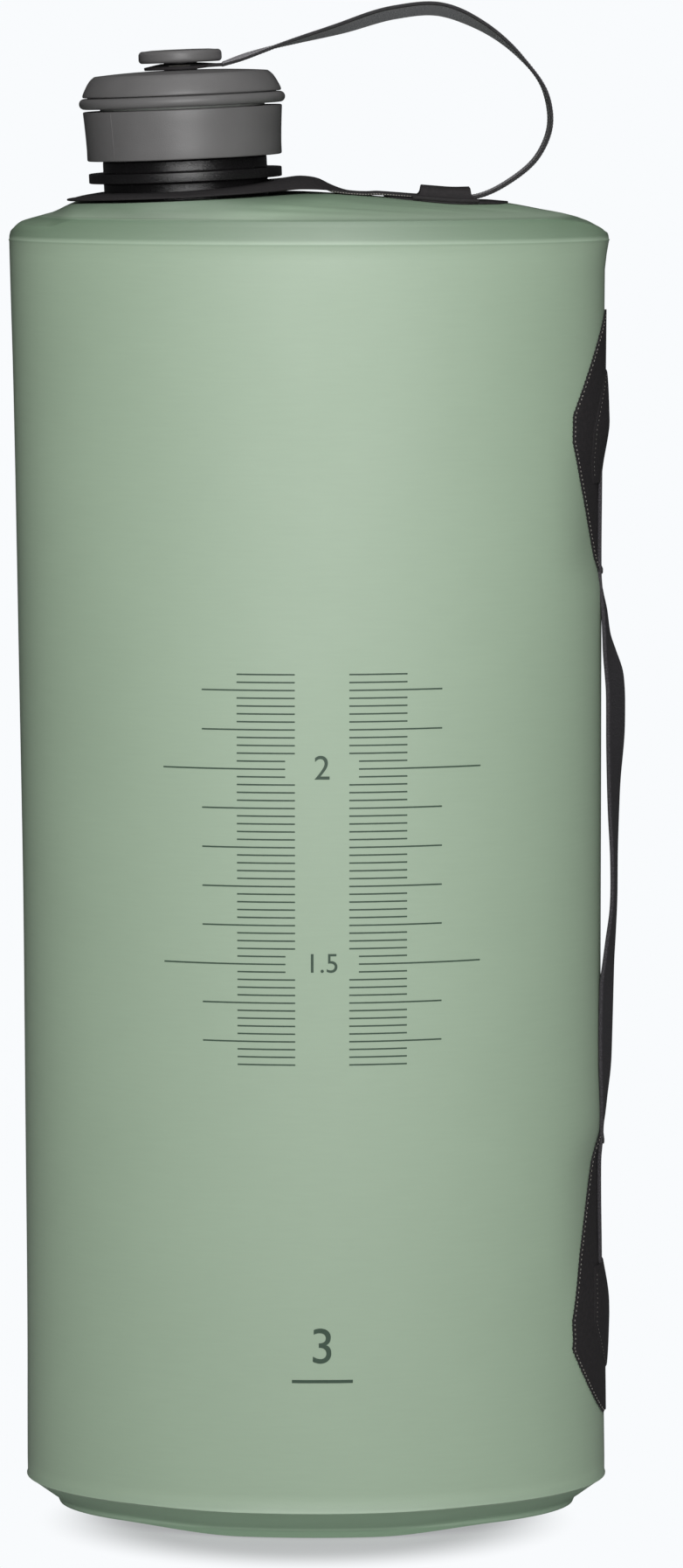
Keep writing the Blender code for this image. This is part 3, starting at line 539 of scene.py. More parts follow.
def top_height(x, y):
    """The height of the top panel's upper face."""
    reach = math.hypot(x - NECK_OFFSET, y)
    slope = math.tan(NECK_LEAN)
    if reach <= SEAT_RADIUS:
        return SEAT_HEIGHT + (x - NECK_OFFSET) * slope
    cos, sin = (x - NECK_OFFSET) / reach, y / reach
    wide = HALF_WIDTH - WELD_INSET - RIM_ROUND
    deep = HALF_DEPTH - WELD_INSET - RIM_ROUND
    a = (cos / wide) ** 2 + (sin / deep) ** 2
    b = NECK_OFFSET * cos / wide**2
    c = (NECK_OFFSET / wide) ** 2 - 1
    rim = (math.sqrt(b * b - a * c) - b) / a
    share = (reach - SEAT_RADIUS) / (rim - SEAT_RADIUS)
    seat = SEAT_HEIGHT + SEAT_RADIUS * cos * slope
    crest = RIM_HEIGHT + RIM_PUFF
    return seat + (crest - seat) * min(share, 1) ** DOME_POWER + ridge(x, y)


def ridge(x, y):
    """How far the dome's fold at the handle's end stands over the rest of it."""
    along = min(eased(x, *span) for span in RIDGE_ALONG)
    return RIDGE * along * eased(abs(y), *RIDGE_ACROSS)


def droop(x):
    """How far the top panel and the rim fall towards their two ends."""
    fallen = sum(
        depth * limited((side * x - start) / length) ** power
        for side, depth, start, length, power in DROOPS
    )
    return fallen + SHOULDER_DROOP * eased(-x, *SHOULDER_ALONG)


def flare(x, height):
    """How far the rim stands out at the handle's end."""
    return FLARE * eased(x, *FLARE_ALONG) * eased(height, *FLARE_UP)


def foot_rise(x, height):
    """How far the foot's two ends stand off the floor."""
    return FOOT_RISE * eased(abs(x), *FOOT_RISE_ALONG) * max(0, 1 - height / FOOT_RISE_HEIGHT)


def on_top(x, y, lift):
    return Vector((x, y, top_height(x, y) + lift))


def unevenness(point, ripples):
    """How far the film waves at a point: each ripple is its depth, its spacing and a seed."""
    total = 0
    for depth, spacing, seed in ripples:
        place = Vector(point[i] / spacing[i] for i in range(3)) + Vector((seed, seed, seed))
        total += depth * noise.noise(place)
    return total


# Film


def film_walls():
    """Front and back panels: one smooth tube to the eye, with its welded band below the rim."""
    rise = (SEAM_HEIGHT - TUCK_RISE) / WALL_ROWS
    profile = FOOT_SECTION + [(0, TUCK_RISE + rise * (i + 1)) for i in range(WALL_ROWS - 1)]
    profile += [(lift, SEAM_HEIGHT + above) for lift, above in WELD_SECTION]
    profile += [(lift, RIM_TOP + above) for lift, above in RIM_SECTION]
    rings = [(*wall_axes(height, lift), height, lean(height)) for lift, height in profile]
    obj = stack("pouch_walls", rings, SIDES)
    for vertex in obj.data.vertices:
        point = vertex.co
        x = point.x - lean(point.z)
        out = Vector((x / HALF_WIDTH**2, point.y / HALF_DEPTH**2, 0)).normalized()
        calm = limited((point.z - TUCK_RISE) / CALM_BAND)
        calm *= limited((SEAM_HEIGHT - point.z) / CALM_BAND)
        drawn = dent(point.y, point.z) if x > 0 else 0
        fall = droop(x) * eased(point.z, SEAM_HEIGHT - 0.001, RIM_TOP)
        waves = unevenness(point, WALL_RIPPLES) * calm * (1 - drawn / DENT)
        vertex.co = point + out * (waves - drawn)
        vertex.co.z += foot_rise(vertex.co.x, vertex.co.z) - fall
        vertex.co.x += flare(x, point.z)
    return thicken(obj, FILM, side=-1)


def film_top():
    """The domed top panel. Its skirt is welded inside the walls, and its rim is puffed."""
    wide, deep = HALF_WIDTH - WELD_INSET, HALF_DEPTH - WELD_INSET
    puff = 0.0007
    rings = [(wide, deep, SEAM_HEIGHT, 0), (wide, deep, RIM_TOP - 0.002, 0)]
    for lift, height in arc((-puff, RIM_TOP - 0.0005), (puff, puff), 0, 75, 5):
        rings.append((wide + lift, deep + lift, height, 0))
    wide, deep, crest, _ = rings[-1]
    step = 0.001
    for row in range(1, DOME_ROWS + 1):
        share = row / DOME_ROWS
        half_width = wide + (SEAT_RADIUS - wide) * share
        half_depth = deep + (SEAT_RADIUS - deep) * share
        rings.append((half_width, half_depth, crest + step * row, NECK_OFFSET * share))
    hole = (NECK_HOLE, NECK_HOLE, crest + step * (DOME_ROWS + 1), NECK_OFFSET)
    obj = stack("pouch_top", rings + [hole], SIDES)
    slope = math.tan(NECK_LEAN)
    short_way, middle_half_depth, middle_span = 0.012, 0.012, (-0.01, 0.056)
    for vertex in obj.data.vertices:
        row = round((vertex.co.z - crest) / step)
        if row < 0 or vertex.co.z < crest - 0.00001:
            vertex.co.z -= droop(vertex.co.x) * eased(vertex.co.z, SEAM_HEIGHT, crest)
            vertex.co.x += flare(vertex.co.x, SEAM_HEIGHT + FILM)
            continue
        if row > DOME_ROWS:
            vertex.co.z = SEAT_HEIGHT + (vertex.co.x - NECK_OFFSET) * slope
            continue
        half_width, half_depth, _, shift = rings[len(rings) - 1 - DOME_ROWS + row]
        turn = math.atan2(vertex.co.y / half_depth, (vertex.co.x - shift) / half_width)
        rim = Vector((wide * math.cos(turn), deep * math.sin(turn), 0))
        ray = (rim - Vector((NECK_OFFSET, 0, 0))).normalized()
        seat = Vector((NECK_OFFSET, 0, 0)) + ray * SEAT_RADIUS
        share = 1 - row / DOME_ROWS
        point = seat.lerp(rim, share)
        seat_height = SEAT_HEIGHT + SEAT_RADIUS * ray.x * slope
        point.z = seat_height + (crest - seat_height) * share**DOME_POWER
        point.z += ridge(point.x, point.y) - droop(point.x)
        calm = 4 * share * (1 - share)
        streaks = unevenness(point, TOP_RIPPLES)
        # The film only sinks where the arm and the patch lie on it
        if abs(point.y) < middle_half_depth and middle_span[0] < point.x < middle_span[1]:
            streaks = min(streaks, 0)
        outward = Vector((point.x / wide**2, point.y / deep**2, 0)).normalized()
        steep = (seat - rim).length < short_way
        push = outward + Vector((0, 0, 0 if steep else 1))
        vertex.co = point + push.normalized() * streaks * calm
        vertex.co.x += flare(point.x, SEAM_HEIGHT + FILM)
    return thicken(obj, FILM, side=-1)


def film_base():
    """The dish of the base, whose rim is welded inside the foot of the walls."""
    wide, deep = HALF_WIDTH - WELD_INSET, HALF_DEPTH - WELD_INSET
    rings = [
        (wide - inset, deep - inset, height, lean(height)) for inset, height in BASE_SECTION
    ]
    wide, deep = HALF_WIDTH - BASE_FLAT_INSET, HALF_DEPTH - BASE_FLAT_INSET
    rings.append((wide, deep, 0, LEAN))
    for share in (0.66, 0.33, 0.1):
        rings.append((wide * share, deep * share, 0, LEAN))
    rings.append((0, 0, 0, LEAN))
    obj = stack("pouch_base", rings, SIDES)
    for vertex in obj.data.vertices:
        vertex.co.z += foot_rise(vertex.co.x, vertex.co.z)
    return thicken(obj, FILM, side=-1)


# Neck and cap


def neck():
    """The moulded neck: threaded mouth, collar, flange over the leash plate and, under the
    film, the flange that is welded to the top panel."""
    bore, collar, flange, weld = 0.0190, 0.0214, 0.0252, 0.0300
    lip, collar_top, flange_low, flange_high = 0.0228, 0.0100, 0.0046, 0.0071
    weld_high = -FILM - GAP
    profile = [(MOUTH_RADIUS, lip), (MOUTH_RADIUS, collar_top + 0.0006), (collar, collar_top)]
    profile += [(collar, flange_high + 0.0003), (collar + 0.0004, flange_high)]
    profile += [(flange, flange_high), (flange, flange_low), (collar + 0.0004, flange_low)]
    profile += [(collar, flange_low - 0.0004), (collar, weld_high), (weld, weld_high)]
    profile += [(weld, weld_high - 0.0015), (bore, weld_high - 0.0015), (bore, lip)]
    return turned("neck", profile, edge_round=0.0004)


def thread(name, radius, height, start, turns, inwards):
    """A screw thread's ridge: a small trapezium drawn out along its helix."""
    deselect()
    depth = -height if inwards else height
    bpy.ops.mesh.primitive_plane_add(size=1)
    obj = bpy.context.object
    obj.name = name
    # In the order of the plane's corners, so that none of its edges cross
    section = [(0, -THREAD_ROOT), (0, THREAD_ROOT), (depth, -THREAD_CREST), (depth, THREAD_CREST)]
    for vertex, (out, up) in zip(obj.data.vertices, section):
        vertex.co = (radius + out, 0, start + up)
    steps = int(THREAD_STEPS * turns)
    apply_modifier(
        obj, "SCREW", angle=2 * math.pi * turns, screw_offset=THREAD_PITCH * turns,
        steps=steps, render_steps=steps, iterations=1,
        use_merge_vertices=False, use_normal_calculate=True,
    )
    edit_whole(obj, MERGE, FILL, FACE_OUTWARDS)
    return place_on_neck(obj)


def cap_side():
    """The cap's side wall, a little wider towards the top."""
    bottom, top, outer, bore = SKIRT_BOTTOM, SKIRT_TOP, SKIRT_RADIUS, CAP_BORE_RADIUS
    profile = [(outer + SKIRT_FLARE, top), (outer + SKIRT_FLARE * 0.62, top - 0.003)]
    profile += [(outer + SKIRT_FLARE * 0.25, (top + bottom) / 2), (outer, bottom + 0.003)]
    profile += [(outer, bottom), (bore, bottom), (bore, top)]
    return turned("cap_side", profile, edge_round=0.0004, sides=CAP_SIDES)


def cap_top():
    """The crown: a low dome, a rounded shoulder and, inside, the land for the seal."""
    outer, flat, groove, hole = 0.0260, 0.0226, 0.0246, 0.0047
    lip, seal, recess, land, roof, fall = 0.02675, 0.0218, 0.0165, 0.0252, 0.0303, 0.0009
    profile = []
    for radius in (hole, 0.0085, 0.0120, 0.0150, 0.0175, 0.0195, 0.0212, flat):
        profile.append((radius, CROWN_TOP - fall * (radius / flat) ** 2.4))
    profile += [(0.0234, 0.0315), (0.0240, 0.0309), (0.0246, 0.0300), (0.02505, 0.0292)]
    profile += [(0.0254, 0.0285), (0.02574, 0.0278), (outer - 0.00003, 0.0271)]
    profile += [(outer - 0.0002, lip), (groove, lip), (groove, CROWN_BOTTOM)]
    profile += [(seal, CROWN_BOTTOM), (seal, land), (recess, land), (recess, roof)]
    profile += [(hole, roof)]
    return turned("cap_top", profile, edge_round=0.0002, sides=CAP_SIDES)


def cap_bead():
    """The round bead between crown and side wall."""
    half, inner, outer, middle = 0.0014, 0.0249, 0.0269, 0.02514
    profile = [(inner, middle + half)] + arc((outer - half, middle), (half, half), 90, -90, 12)
    profile += [(inner, middle - half)]
    return turned("cap_bead", profile, sides=CAP_SIDES)


def cap_seal():
    """The ring that the crown presses on to the neck's lip."""
    inner, outer, bottom, top = 0.0174, 0.0215, 0.0231, 0.0249
    profile = [(outer, top), (outer, bottom), (inner, bottom), (inner, top)]
    return turned("cap_seal", profile, edge_round=0.0003)


def stud():
    """The button on its stem, snapped into the crown through the leash's eye."""
    half, stem, barb, thick = 0.01085, 0.00435, 0.00515, 0.0034
    bottom, under = BUTTON_BOTTOM, 0.0300
    top = bottom + thick
    profile = [(0.004, top), (0.0075, top - 0.00008), (half - 0.0014, top - 0.00025)]
    profile += arc((half - 0.0012, top - 0.0014), (0.0012, 0.0012), 75, 10, 5)
    profile += arc((half - 0.0010, bottom + 0.0010), (0.0010, 0.0010), 0, -75, 5)
    profile += [(half - 0.0020, bottom), (stem, bottom), (stem, under)]
    profile += [(barb, under - GAP), (stem, under - 0.0019)]
    return turned("cap_stud", profile, sides=STUD_SIDES, closed=False)


def parting_line():
    """The fine raised line that the mould's halves leave up the cap's side wall."""
    turn = math.radians(-134)
    bottom, top, proud, width = 0.0110, 0.0227, 0.00036, 0.00024
    deselect()
    bpy.ops.mesh.primitive_cube_add(size=1)
    obj = bpy.context.object
    obj.name = "cap_parting_line"
    for vertex in obj.data.vertices:
        share = vertex.co.z + 0.5
        out = SKIRT_RADIUS + SKIRT_FLARE * share - 0.0003 + proud * (vertex.co.x + 0.5)
        vertex.co = (out, vertex.co.y * width, bottom + (top - bottom) * share)
    obj.matrix_world = Matrix.Rotation(turn, 4, "Z")
    work_on(obj)
    bpy.ops.object.transform_apply(location=True, rotation=True, scale=True)
    apply_modifier(obj, "BEVEL", width=0.00008, segments=2)
    return place_on_neck(obj)


# Leash, plate, patch and keeper


def leash_seat():
    """How far the leash's middle lies above the top panel where it lies on the patch."""
    return TOP_PATCH_THICKNESS + GAP + LEASH_THICKNESS / 2


def leash_line(count):
    """The leash's middle line, from the eye over and down to the patch."""
    middle = CROWN_TOP + GAP + EYE_THICKNESS / 2
    start = NECK @ Vector((EYE_STUB - 0.0006, 0, middle))
    landing = on_top(LEASH_LANDING, 0, leash_seat())
    points = [start]
    for share, out, up in LEASH_ROUTE_SHARES:
        aside = Vector((LEASH_REACH * out, 0, LEASH_RISE * up))
        points.append(start.lerp(landing, share) + aside)
    points += [landing, on_top(LEASH_JOIN - 0.0005, 0, leash_seat())]
    return smooth(points, count)


def across_leash(direction, share):
    """The direction across the leash, twisted at a share of its length."""
    turn = LEASH_TWIST * between(LEASH_TWIST_SHARES, share)[0]
    up = direction.cross(Vector((0, 1, 0)))
    return Vector((0, math.cos(turn), 0)) - up * math.sin(turn)


def leash():
    """The strap that stands in a loop between the cap and the keeper."""
    rows = 180
    centres = leash_line(rows)
    directions = tangents(centres)
    directions[0] = NECK.to_3x3() @ Vector((1, 0, 0))
    directions[-1] = Vector((-1, 0, 0))

    def place(across, along):
        row = round(along * rows)
        side = across_leash(directions[row], along)
        return centres[row] + side * LEASH_WIDTH * (across - 0.5)

    obj = lay("leash", 12, rows, (LEASH_WIDTH, length_of(centres)), place)
    return thicken(obj, LEASH_THICKNESS, edge_round=0.00035)


def leash_edges():
    """The line of light thread that is sewn along each edge of the leash."""
    rows, inset = 170, 0.0009
    centres = leash_line(rows)
    directions = tangents(centres)
    places = []
    for row in range(3, rows - 2):
        side = across_leash(directions[row], row / rows)
        face = directions[row].cross(side)
        for edge in (-1, 1):
            for under in (-1, 1):
                at = centres[row] + side * edge * (LEASH_WIDTH / 2 - inset)
                at += face * under * LEASH_THICKNESS / 2
                places.append((at, directions[row], face))
    return stitches("leash_stitches", places, length=0.00045, radius=0.00007)


def eye_edge(turn):
    """The outer radius of the leash's eye: a ring that runs on into a straight tab."""
    half, turn = LEASH_WIDTH / 2, abs(math.remainder(turn, 2 * math.pi))
    if turn < math.atan2(half, EYE_STUB):
        return EYE_STUB / math.cos(turn)
    return half / math.sin(turn) if turn < math.asin(half / EYE_RADIUS) else EYE_RADIUS


def on_eye(radius, turn, lift):
    """A point over the eye's middle: it climbs from the crown towards the stem."""
    beside_leash = eased(abs(math.remainder(turn, 2 * math.pi)), 1.3, 0.3)
    rim = EYE_RIM_LIFT + EYE_TAB_LIFT * beside_leash
    rise = rim + (EYE_STEM_LIFT - rim) * limited((EYE_RADIUS - radius) / EYE_CLIMB)
    place = Vector((radius * math.cos(turn), radius * math.sin(turn), CROWN_TOP + rise + lift))
    return NECK @ place


def leash_eye():
    """The coated end of the leash, which drapes from under the button on to the crown."""

    def place(across, along):
        turn = 2 * math.pi * along
        return on_eye(EYE_BORE + (eye_edge(turn) - EYE_BORE) * across, turn, 0)

    obj = lay("leash_eye_ring", 10, 144, (0.005, 0.06), place, ring=True)
    return thicken(obj, EYE_SHEET, edge_round=0.0002)


def eye_stitches_and_highlight():
    """A short bar of light thread at the front and back of the eye. The front bar stands
    where the eye catches a highlight: partly thread, partly a painted highlight.
    """
    places = []
    to_each_side, step = 5, 0.06
    for side in (-1, 1):
        for i in range(-to_each_side, to_each_side + 1):
            turn = side * (math.pi / 2 + step * i)
            at, beyond = (on_eye(EYE_SEAM, turn + on, EYE_SHEET / 2) for on in (0, 0.02))
            places.append((at, (beyond - at).normalized(), NECK_AXIS))
    return stitches("eye_stitches_and_highlight", places, length=0.00045, radius=0.0001)


def plate_tangent():
    """The angle at which the plate's straight sides leave its round part for the arm."""
    half = LEASH_WIDTH / 2
    reach = math.acos(PLATE_RADIUS / math.hypot(PLATE_POINT, half))
    return math.atan2(half, PLATE_POINT) + reach


def plate_edge(turn):
    """The outer radius of the leash plate, a round sheet that narrows towards its arm."""
    turn = abs(math.remainder(turn, 2 * math.pi))
    if turn >= plate_tangent():
        return PLATE_RADIUS
    straight = PLATE_RADIUS / math.cos(plate_tangent() - turn)
    return min(straight, PLATE_POINT / math.cos(turn))


def plate_half(x):
    """Half the width of the plate, and of its arm, at a place along them."""
    reach, tangent = x - NECK_OFFSET, plate_tangent()
    if reach <= PLATE_RADIUS * math.cos(tangent):
        return math.sqrt(max(PLATE_RADIUS**2 - reach**2, PLATE_THICKNESS**2))
    straight = (PLATE_RADIUS - reach * math.cos(tangent)) / math.sin(tangent)
    return max(straight, LEASH_WIDTH / 2)


def on_plate(x, y, lift):
    """A point above the plate's lower face, which humps up from the film to the flange."""
    share = (x - NECK_OFFSET) / (LEASH_JOIN - NECK_OFFSET)
    hump, seat = between(ARM_ROUTE_SHARES, share)
    drop = 1 - PLATE_DROP * min(abs(y) / plate_half(x), 1) ** 2
    seated = TOP_PATCH_THICKNESS * seat
    return on_top(x, y, GAP / 3 + ARM_HUMP * hump * drop + seated + lift)


def plate():
    """The coated sheet under the neck's flange."""

    def place(across, along):
        turn = 2 * math.pi * along
        radius = NECK_HOLE + (plate_edge(turn) - NECK_HOLE) * across
        x = NECK_OFFSET + radius * math.cos(turn)
        return on_plate(x, radius * math.sin(turn), PLATE_THICKNESS / 2)

    obj = lay("neck_plate", 14, 168, (0.01, 0.2), place, ring=True)
    thicken(obj, PLATE_THICKNESS, edge_round=0.0003)
    # Its pressed rim is 0.4 of that thickness
    for vertex in obj.data.vertices:
        x, y = vertex.co.x - NECK_OFFSET, vertex.co.y
        rim = plate_edge(math.atan2(y, x)) - math.hypot(x, y)
        middle = on_plate(vertex.co.x, y, PLATE_THICKNESS / 2).z
        vertex.co.z = middle + (vertex.co.z - middle) * (1 - 0.6 * eased(rim, 0.0040, 0.0002))
    return obj


def arm():
    """The plate's arm, which humps over its edge and dips to the keeper."""
    first, last = NECK_OFFSET + ARM_START, LEASH_JOIN

    def place(across, along):
        x = first + (last - first) * along
        return on_plate(x, LEASH_WIDTH * (across - 0.5), ARM_THICKNESS / 2)

    obj = lay("plate_arm", 14, 90, (LEASH_WIDTH, last - first), place)
    return thicken(obj, ARM_THICKNESS, edge_round=0.0002)


def arm_stitches():
    """Light thread along both edges of the arm."""
    places = []
    first, last, count = 0.003, KEEPER_START - 0.002, 34
    for i in range(count):
        x = first + (last - first) * i / count
        for edge in (-1, 1):
            y = edge * LEASH_WIDTH / 2
            at, beyond = (on_plate(x + on, y, ARM_THICKNESS * 0.4) for on in (0, 0.0005))
            places.append((at, (beyond - at).normalized(), Vector((0, 0, 1))))
    return stitches("arm_stitches", places, length=0.0005, radius=0.00012)


def top_patch():
    """The pad under the keeper, an oval with straight sides."""
    half = TOP_PATCH_WIDTH / 2
    middle = (TOP_PATCH_START + TOP_PATCH_END) / 2
    straight = (TOP_PATCH_END - TOP_PATCH_START) / 2 - half

    def place(across, along):
        turn = math.pi * (along - 0.5)
        x = middle + straight * (2 * along - 1) + half * math.sin(turn) * 0.999
        reach = half * max(math.cos(turn), 0.03) ** 0.42
        return on_top(x, reach * (2 * across - 1), TOP_PATCH_THICKNESS / 2)

    obj = lay("top_patch_pad", 12, 48, (TOP_PATCH_WIDTH, TOP_PATCH_END - TOP_PATCH_START), place)
    return thicken(obj, TOP_PATCH_THICKNESS, edge_round=0.00012)


def keeper():
    """The band over the leash: two flared feet on the patch and a flat roof."""
    foot = TOP_PATCH_THICKNESS
    roof = foot + LEASH_THICKNESS + 0.0013
    inside = LEASH_WIDTH / 2 + GAP
    outside = inside + KEEPER_THICKNESS
    count = 64
    half = [
        (outside + KEEPER_FOOT, foot, KEEPER_FLARE),
        (outside + KEEPER_FOOT / 4, foot + 0.0001, KEEPER_FLARE * 0.45),
        (outside - GAP, foot + 0.0009, KEEPER_FLARE / 7),
        (inside - GAP, roof, 0),
        (inside / 2, roof, 0),
    ]
    near = [Vector((-out, up, wider)) for out, up, wider in half]
    stations = smooth(near + [Vector(point) for point in reversed(half)], count)

    def place(across, along):
        station = stations[round(along * count)]
        first = KEEPER_START - station.z
        x = first + (KEEPER_LENGTH + 2 * station.z) * across
        return on_top(x, station.x, station.y + KEEPER_THICKNESS / 2)

    obj = lay("leash_keeper", 14, count, (KEEPER_LENGTH, 0.022), place)
    return thicken(obj, KEEPER_THICKNESS, edge_round=0.00025)


# Side handle


def leaf_half(patch, height):
    """The half width of a handle patch at a height."""
    tip, widest, end, taper = patch
    first = tip if (height - widest) * (tip - widest) > 0 else end
    share = limited((height - first) / (widest - first))
    rounded = 1 - 0.06 * max(0, share - 0.9) / 0.1
    return PATCH_TIP + (PATCH_HALF_WIDTH - PATCH_TIP) * share**taper * rounded


def handle_patch(name, patch):
    """A leaf-shaped sheet on the side of the pouch."""
    tip, end = patch[0], patch[2]

    def place(across, along):
        height = tip + (end - tip) * along
        edge = math.sin(math.pi * min(along, 1 - along, 0.02) / 0.04)
        half = leaf_half(patch, height) * (0.35 + 0.65 * edge)
        return on_side(half * (2 * across - 1), height, PATCH_LIFT + PATCH_THICKNESS / 2)

    obj = lay(name, 22, 120, (2 * PATCH_HALF_WIDTH, abs(end - tip)), place)
    return thicken(obj, PATCH_THICKNESS, edge_round=0.0002)


def sewn_along(line):
    """Stitches at their pitch along a line of (place, place above it): each is its place, its
    direction and the way out of the wall."""
    places, travelled = [], 0
    for (here, above), (there, _) in zip(line, line[1:]):
        travelled += (there - here).length
        if travelled >= STITCH_PITCH:
            travelled -= STITCH_PITCH
            places.append((here, (there - here).normalized(), (above - here).normalized()))
    return places


def patch_edge(patch, inset):
    """Stitches along both edges of a handle patch."""
    tip, end = patch[0], patch[2]
    places, points = [], 240
    lift = PATCH_LIFT + PATCH_THICKNESS
    for side in (-1, 1):
        line = []
        for i in range(points + 1):
            height = tip + (end - tip) * (0.01 + 0.98 * i / points)
            across = side * max(leaf_half(patch, height) - inset, 0.0003)
            line.append((on_side(across, height, lift), on_side(across, height, lift + 0.001)))
        places += sewn_along(line)
    return places


def cover_half(share):
    """The half width of a cover from its tip, at 0, through its widest to its cut edge, at 1."""
    split = COVER_REACH / (COVER_REACH + COVER_CUT_REACH)
    if share < split:
        return PATCH_TIP + (COVER_HALF_WIDTH - PATCH_TIP) * math.sqrt(share / split)
    rest = (share - split) / (1 - split)
    return COVER_HALF_WIDTH + (COVER_CUT_HALF_WIDTH - COVER_HALF_WIDTH) * rest**2


def cover_lift(share, s):
    """The height of a cover's middle over the film; s is 0 on its middle line, 1 at its rim.
    Its rim sinks into the patch, and its middle lies over the end of the webbing."""
    fuller = (1 - s * s) * cover_half(share) / COVER_HALF_WIDTH
    return PATCH_LIFT + PATCH_THICKNESS - COVER_THICKNESS / 3 + COVER_CROWN * fuller


def handle_cover(name, widest, direction):
    """A cover over a sewn end of the webbing, fuller along its middle."""
    tip = widest + direction * COVER_REACH
    cut = widest - direction * COVER_CUT_REACH

    def place(across, along):
        half = cover_half(along)
        s = 2 * across - 1
        return on_side(half * s, tip + (cut - tip) * along, cover_lift(along, s))

    obj = lay(name, 20, 56, (2 * COVER_HALF_WIDTH, abs(cut - tip)), place)
    return thicken(obj, COVER_THICKNESS, edge_round=0.00015)


def cover_stitches(name, widest, direction):
    """The seam of light thread just inside a cover's edge."""
    tip = widest + direction * COVER_REACH
    cut = widest - direction * COVER_CUT_REACH
    places, points, inset = [], 180, 0.0012
    for side in (-1, 1):
        line = []
        for i in range(points + 1):
            share = 0.02 + 0.94 * i / points
            half = cover_half(share)
            s = side * max(half - inset, 0.0002) / half
            lift = cover_lift(share, s) + COVER_THICKNESS / 2
            height = tip + (cut - tip) * share
            line.append((on_side(half * s, height, lift), on_side(half * s, height, lift + 0.001)))
        places += sewn_along(line)
    return stitches(name, places, length=0.0004, radius=0.00006)


def handle_at(height):
    """The webbing's middle at a height, its half width, the way across it and the way out."""
    bottom = LOWER_COVER_WIDEST + COVER_CUT_REACH + GAP
    top = UPPER_COVER_WIDEST - COVER_CUT_REACH - GAP
    stand_off, degrees = between(HANDLE_ROUTE, (height - bottom) / (top - bottom))
    free = limited(min(height - LOWER_TACK, UPPER_TACK - height) / HANDLE_GATHER)
    width = HANDLE_END_WIDTH + (HANDLE_WIDTH - HANDLE_END_WIDTH) * free
    twist = math.radians(degrees)
    side = Vector((math.sin(twist), math.cos(twist), 0))
    out = Vector((math.cos(twist), -math.sin(twist), 0))
    return on_wall(0, height, stand_off / 1000), width / 2, side, out


def handle():
    """The webbing that bows off the wall between the two patches."""
    under_cover = 0.004
    low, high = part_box("handle_webbing")
    bottom, top = low.z - under_cover, high.z + under_cover

    def place(across, along):
        middle, half, side, _ = handle_at(bottom + (top - bottom) * along)
        return middle + side * half * (2 * across - 1)

    obj = lay("handle_strap", 14, 210, (HANDLE_WIDTH, top - bottom), place)
    return thicken(obj, HANDLE_THICKNESS, edge_round=0.0004)


def bar_tack(name, height):
    """A bar of close zigzag thread across the webbing."""
    middle, half, side, out = handle_at(height)
    places, count, inset, slant = [], 22, 0.0004, 0.25
    for i in range(count):
        at = middle + out * (HANDLE_THICKNESS / 2 + 0.0001)
        at += side * (half - inset) * (2 * i / (count - 1) - 1)
        direction = Vector((0, 0, 1)) + side * (slant if i % 2 else -slant)
        places.append((at, direction.normalized(), out))
    return stitches(name, places, length=TACK_HEIGHT * 1.5, radius=0.00027)


# Sewing


def stitches(name, places, length, radius):
    """Short rounded threads at (place, direction, up), each a copy of one modelled stitch."""
    deselect()
    bpy.ops.mesh.primitive_cylinder_add(vertices=6, radius=1, depth=1, end_fill_type="TRIFAN")
    model = bpy.context.object
    edit_whole(model, *[
        (bpy.ops.mesh.bisect, {"plane_co": (0, 0, cut), "plane_no": (0, 0, 1)})
        for cut in (0.28, -0.28)
    ])
    for vertex in model.data.vertices:
        slim = 0.45 if abs(vertex.co.z) > 0.4 else 1
        vertex.co = (vertex.co.x * radius * slim, vertex.co.y * radius * slim, vertex.co.z * length)
    joined = bmesh.new()
    for at, direction, up in places:
        across = direction.cross(up).normalized()
        turn = Matrix((across, up, direction)).transposed().to_4x4()
        first = len(joined.verts)
        joined.from_mesh(model.data)
        joined.verts.ensure_lookup_table()
        added = joined.verts[first:]
        bmesh.ops.transform(joined, matrix=Matrix.Translation(at) @ turn, verts=added)
    joined.to_mesh(model.data)
    joined.free()
    model.name = name
    edit_whole(model, FACE_OUTWARDS)
    return model


# Printed scale


def front_of(x, height):
    """The y of the front wall, just over its film."""
    half_width, half_depth = wall_axes(height, 0)
    return -half_depth * math.sqrt(1 - ((x - lean(height)) / half_width) ** 2)


def printed_at(x, height):
    """A point in front of the wall, from which the print is pressed on to it."""
    return (SCALE_MIDDLE + x, front_of(SCALE_MIDDLE + x, height) - INK_START, height)


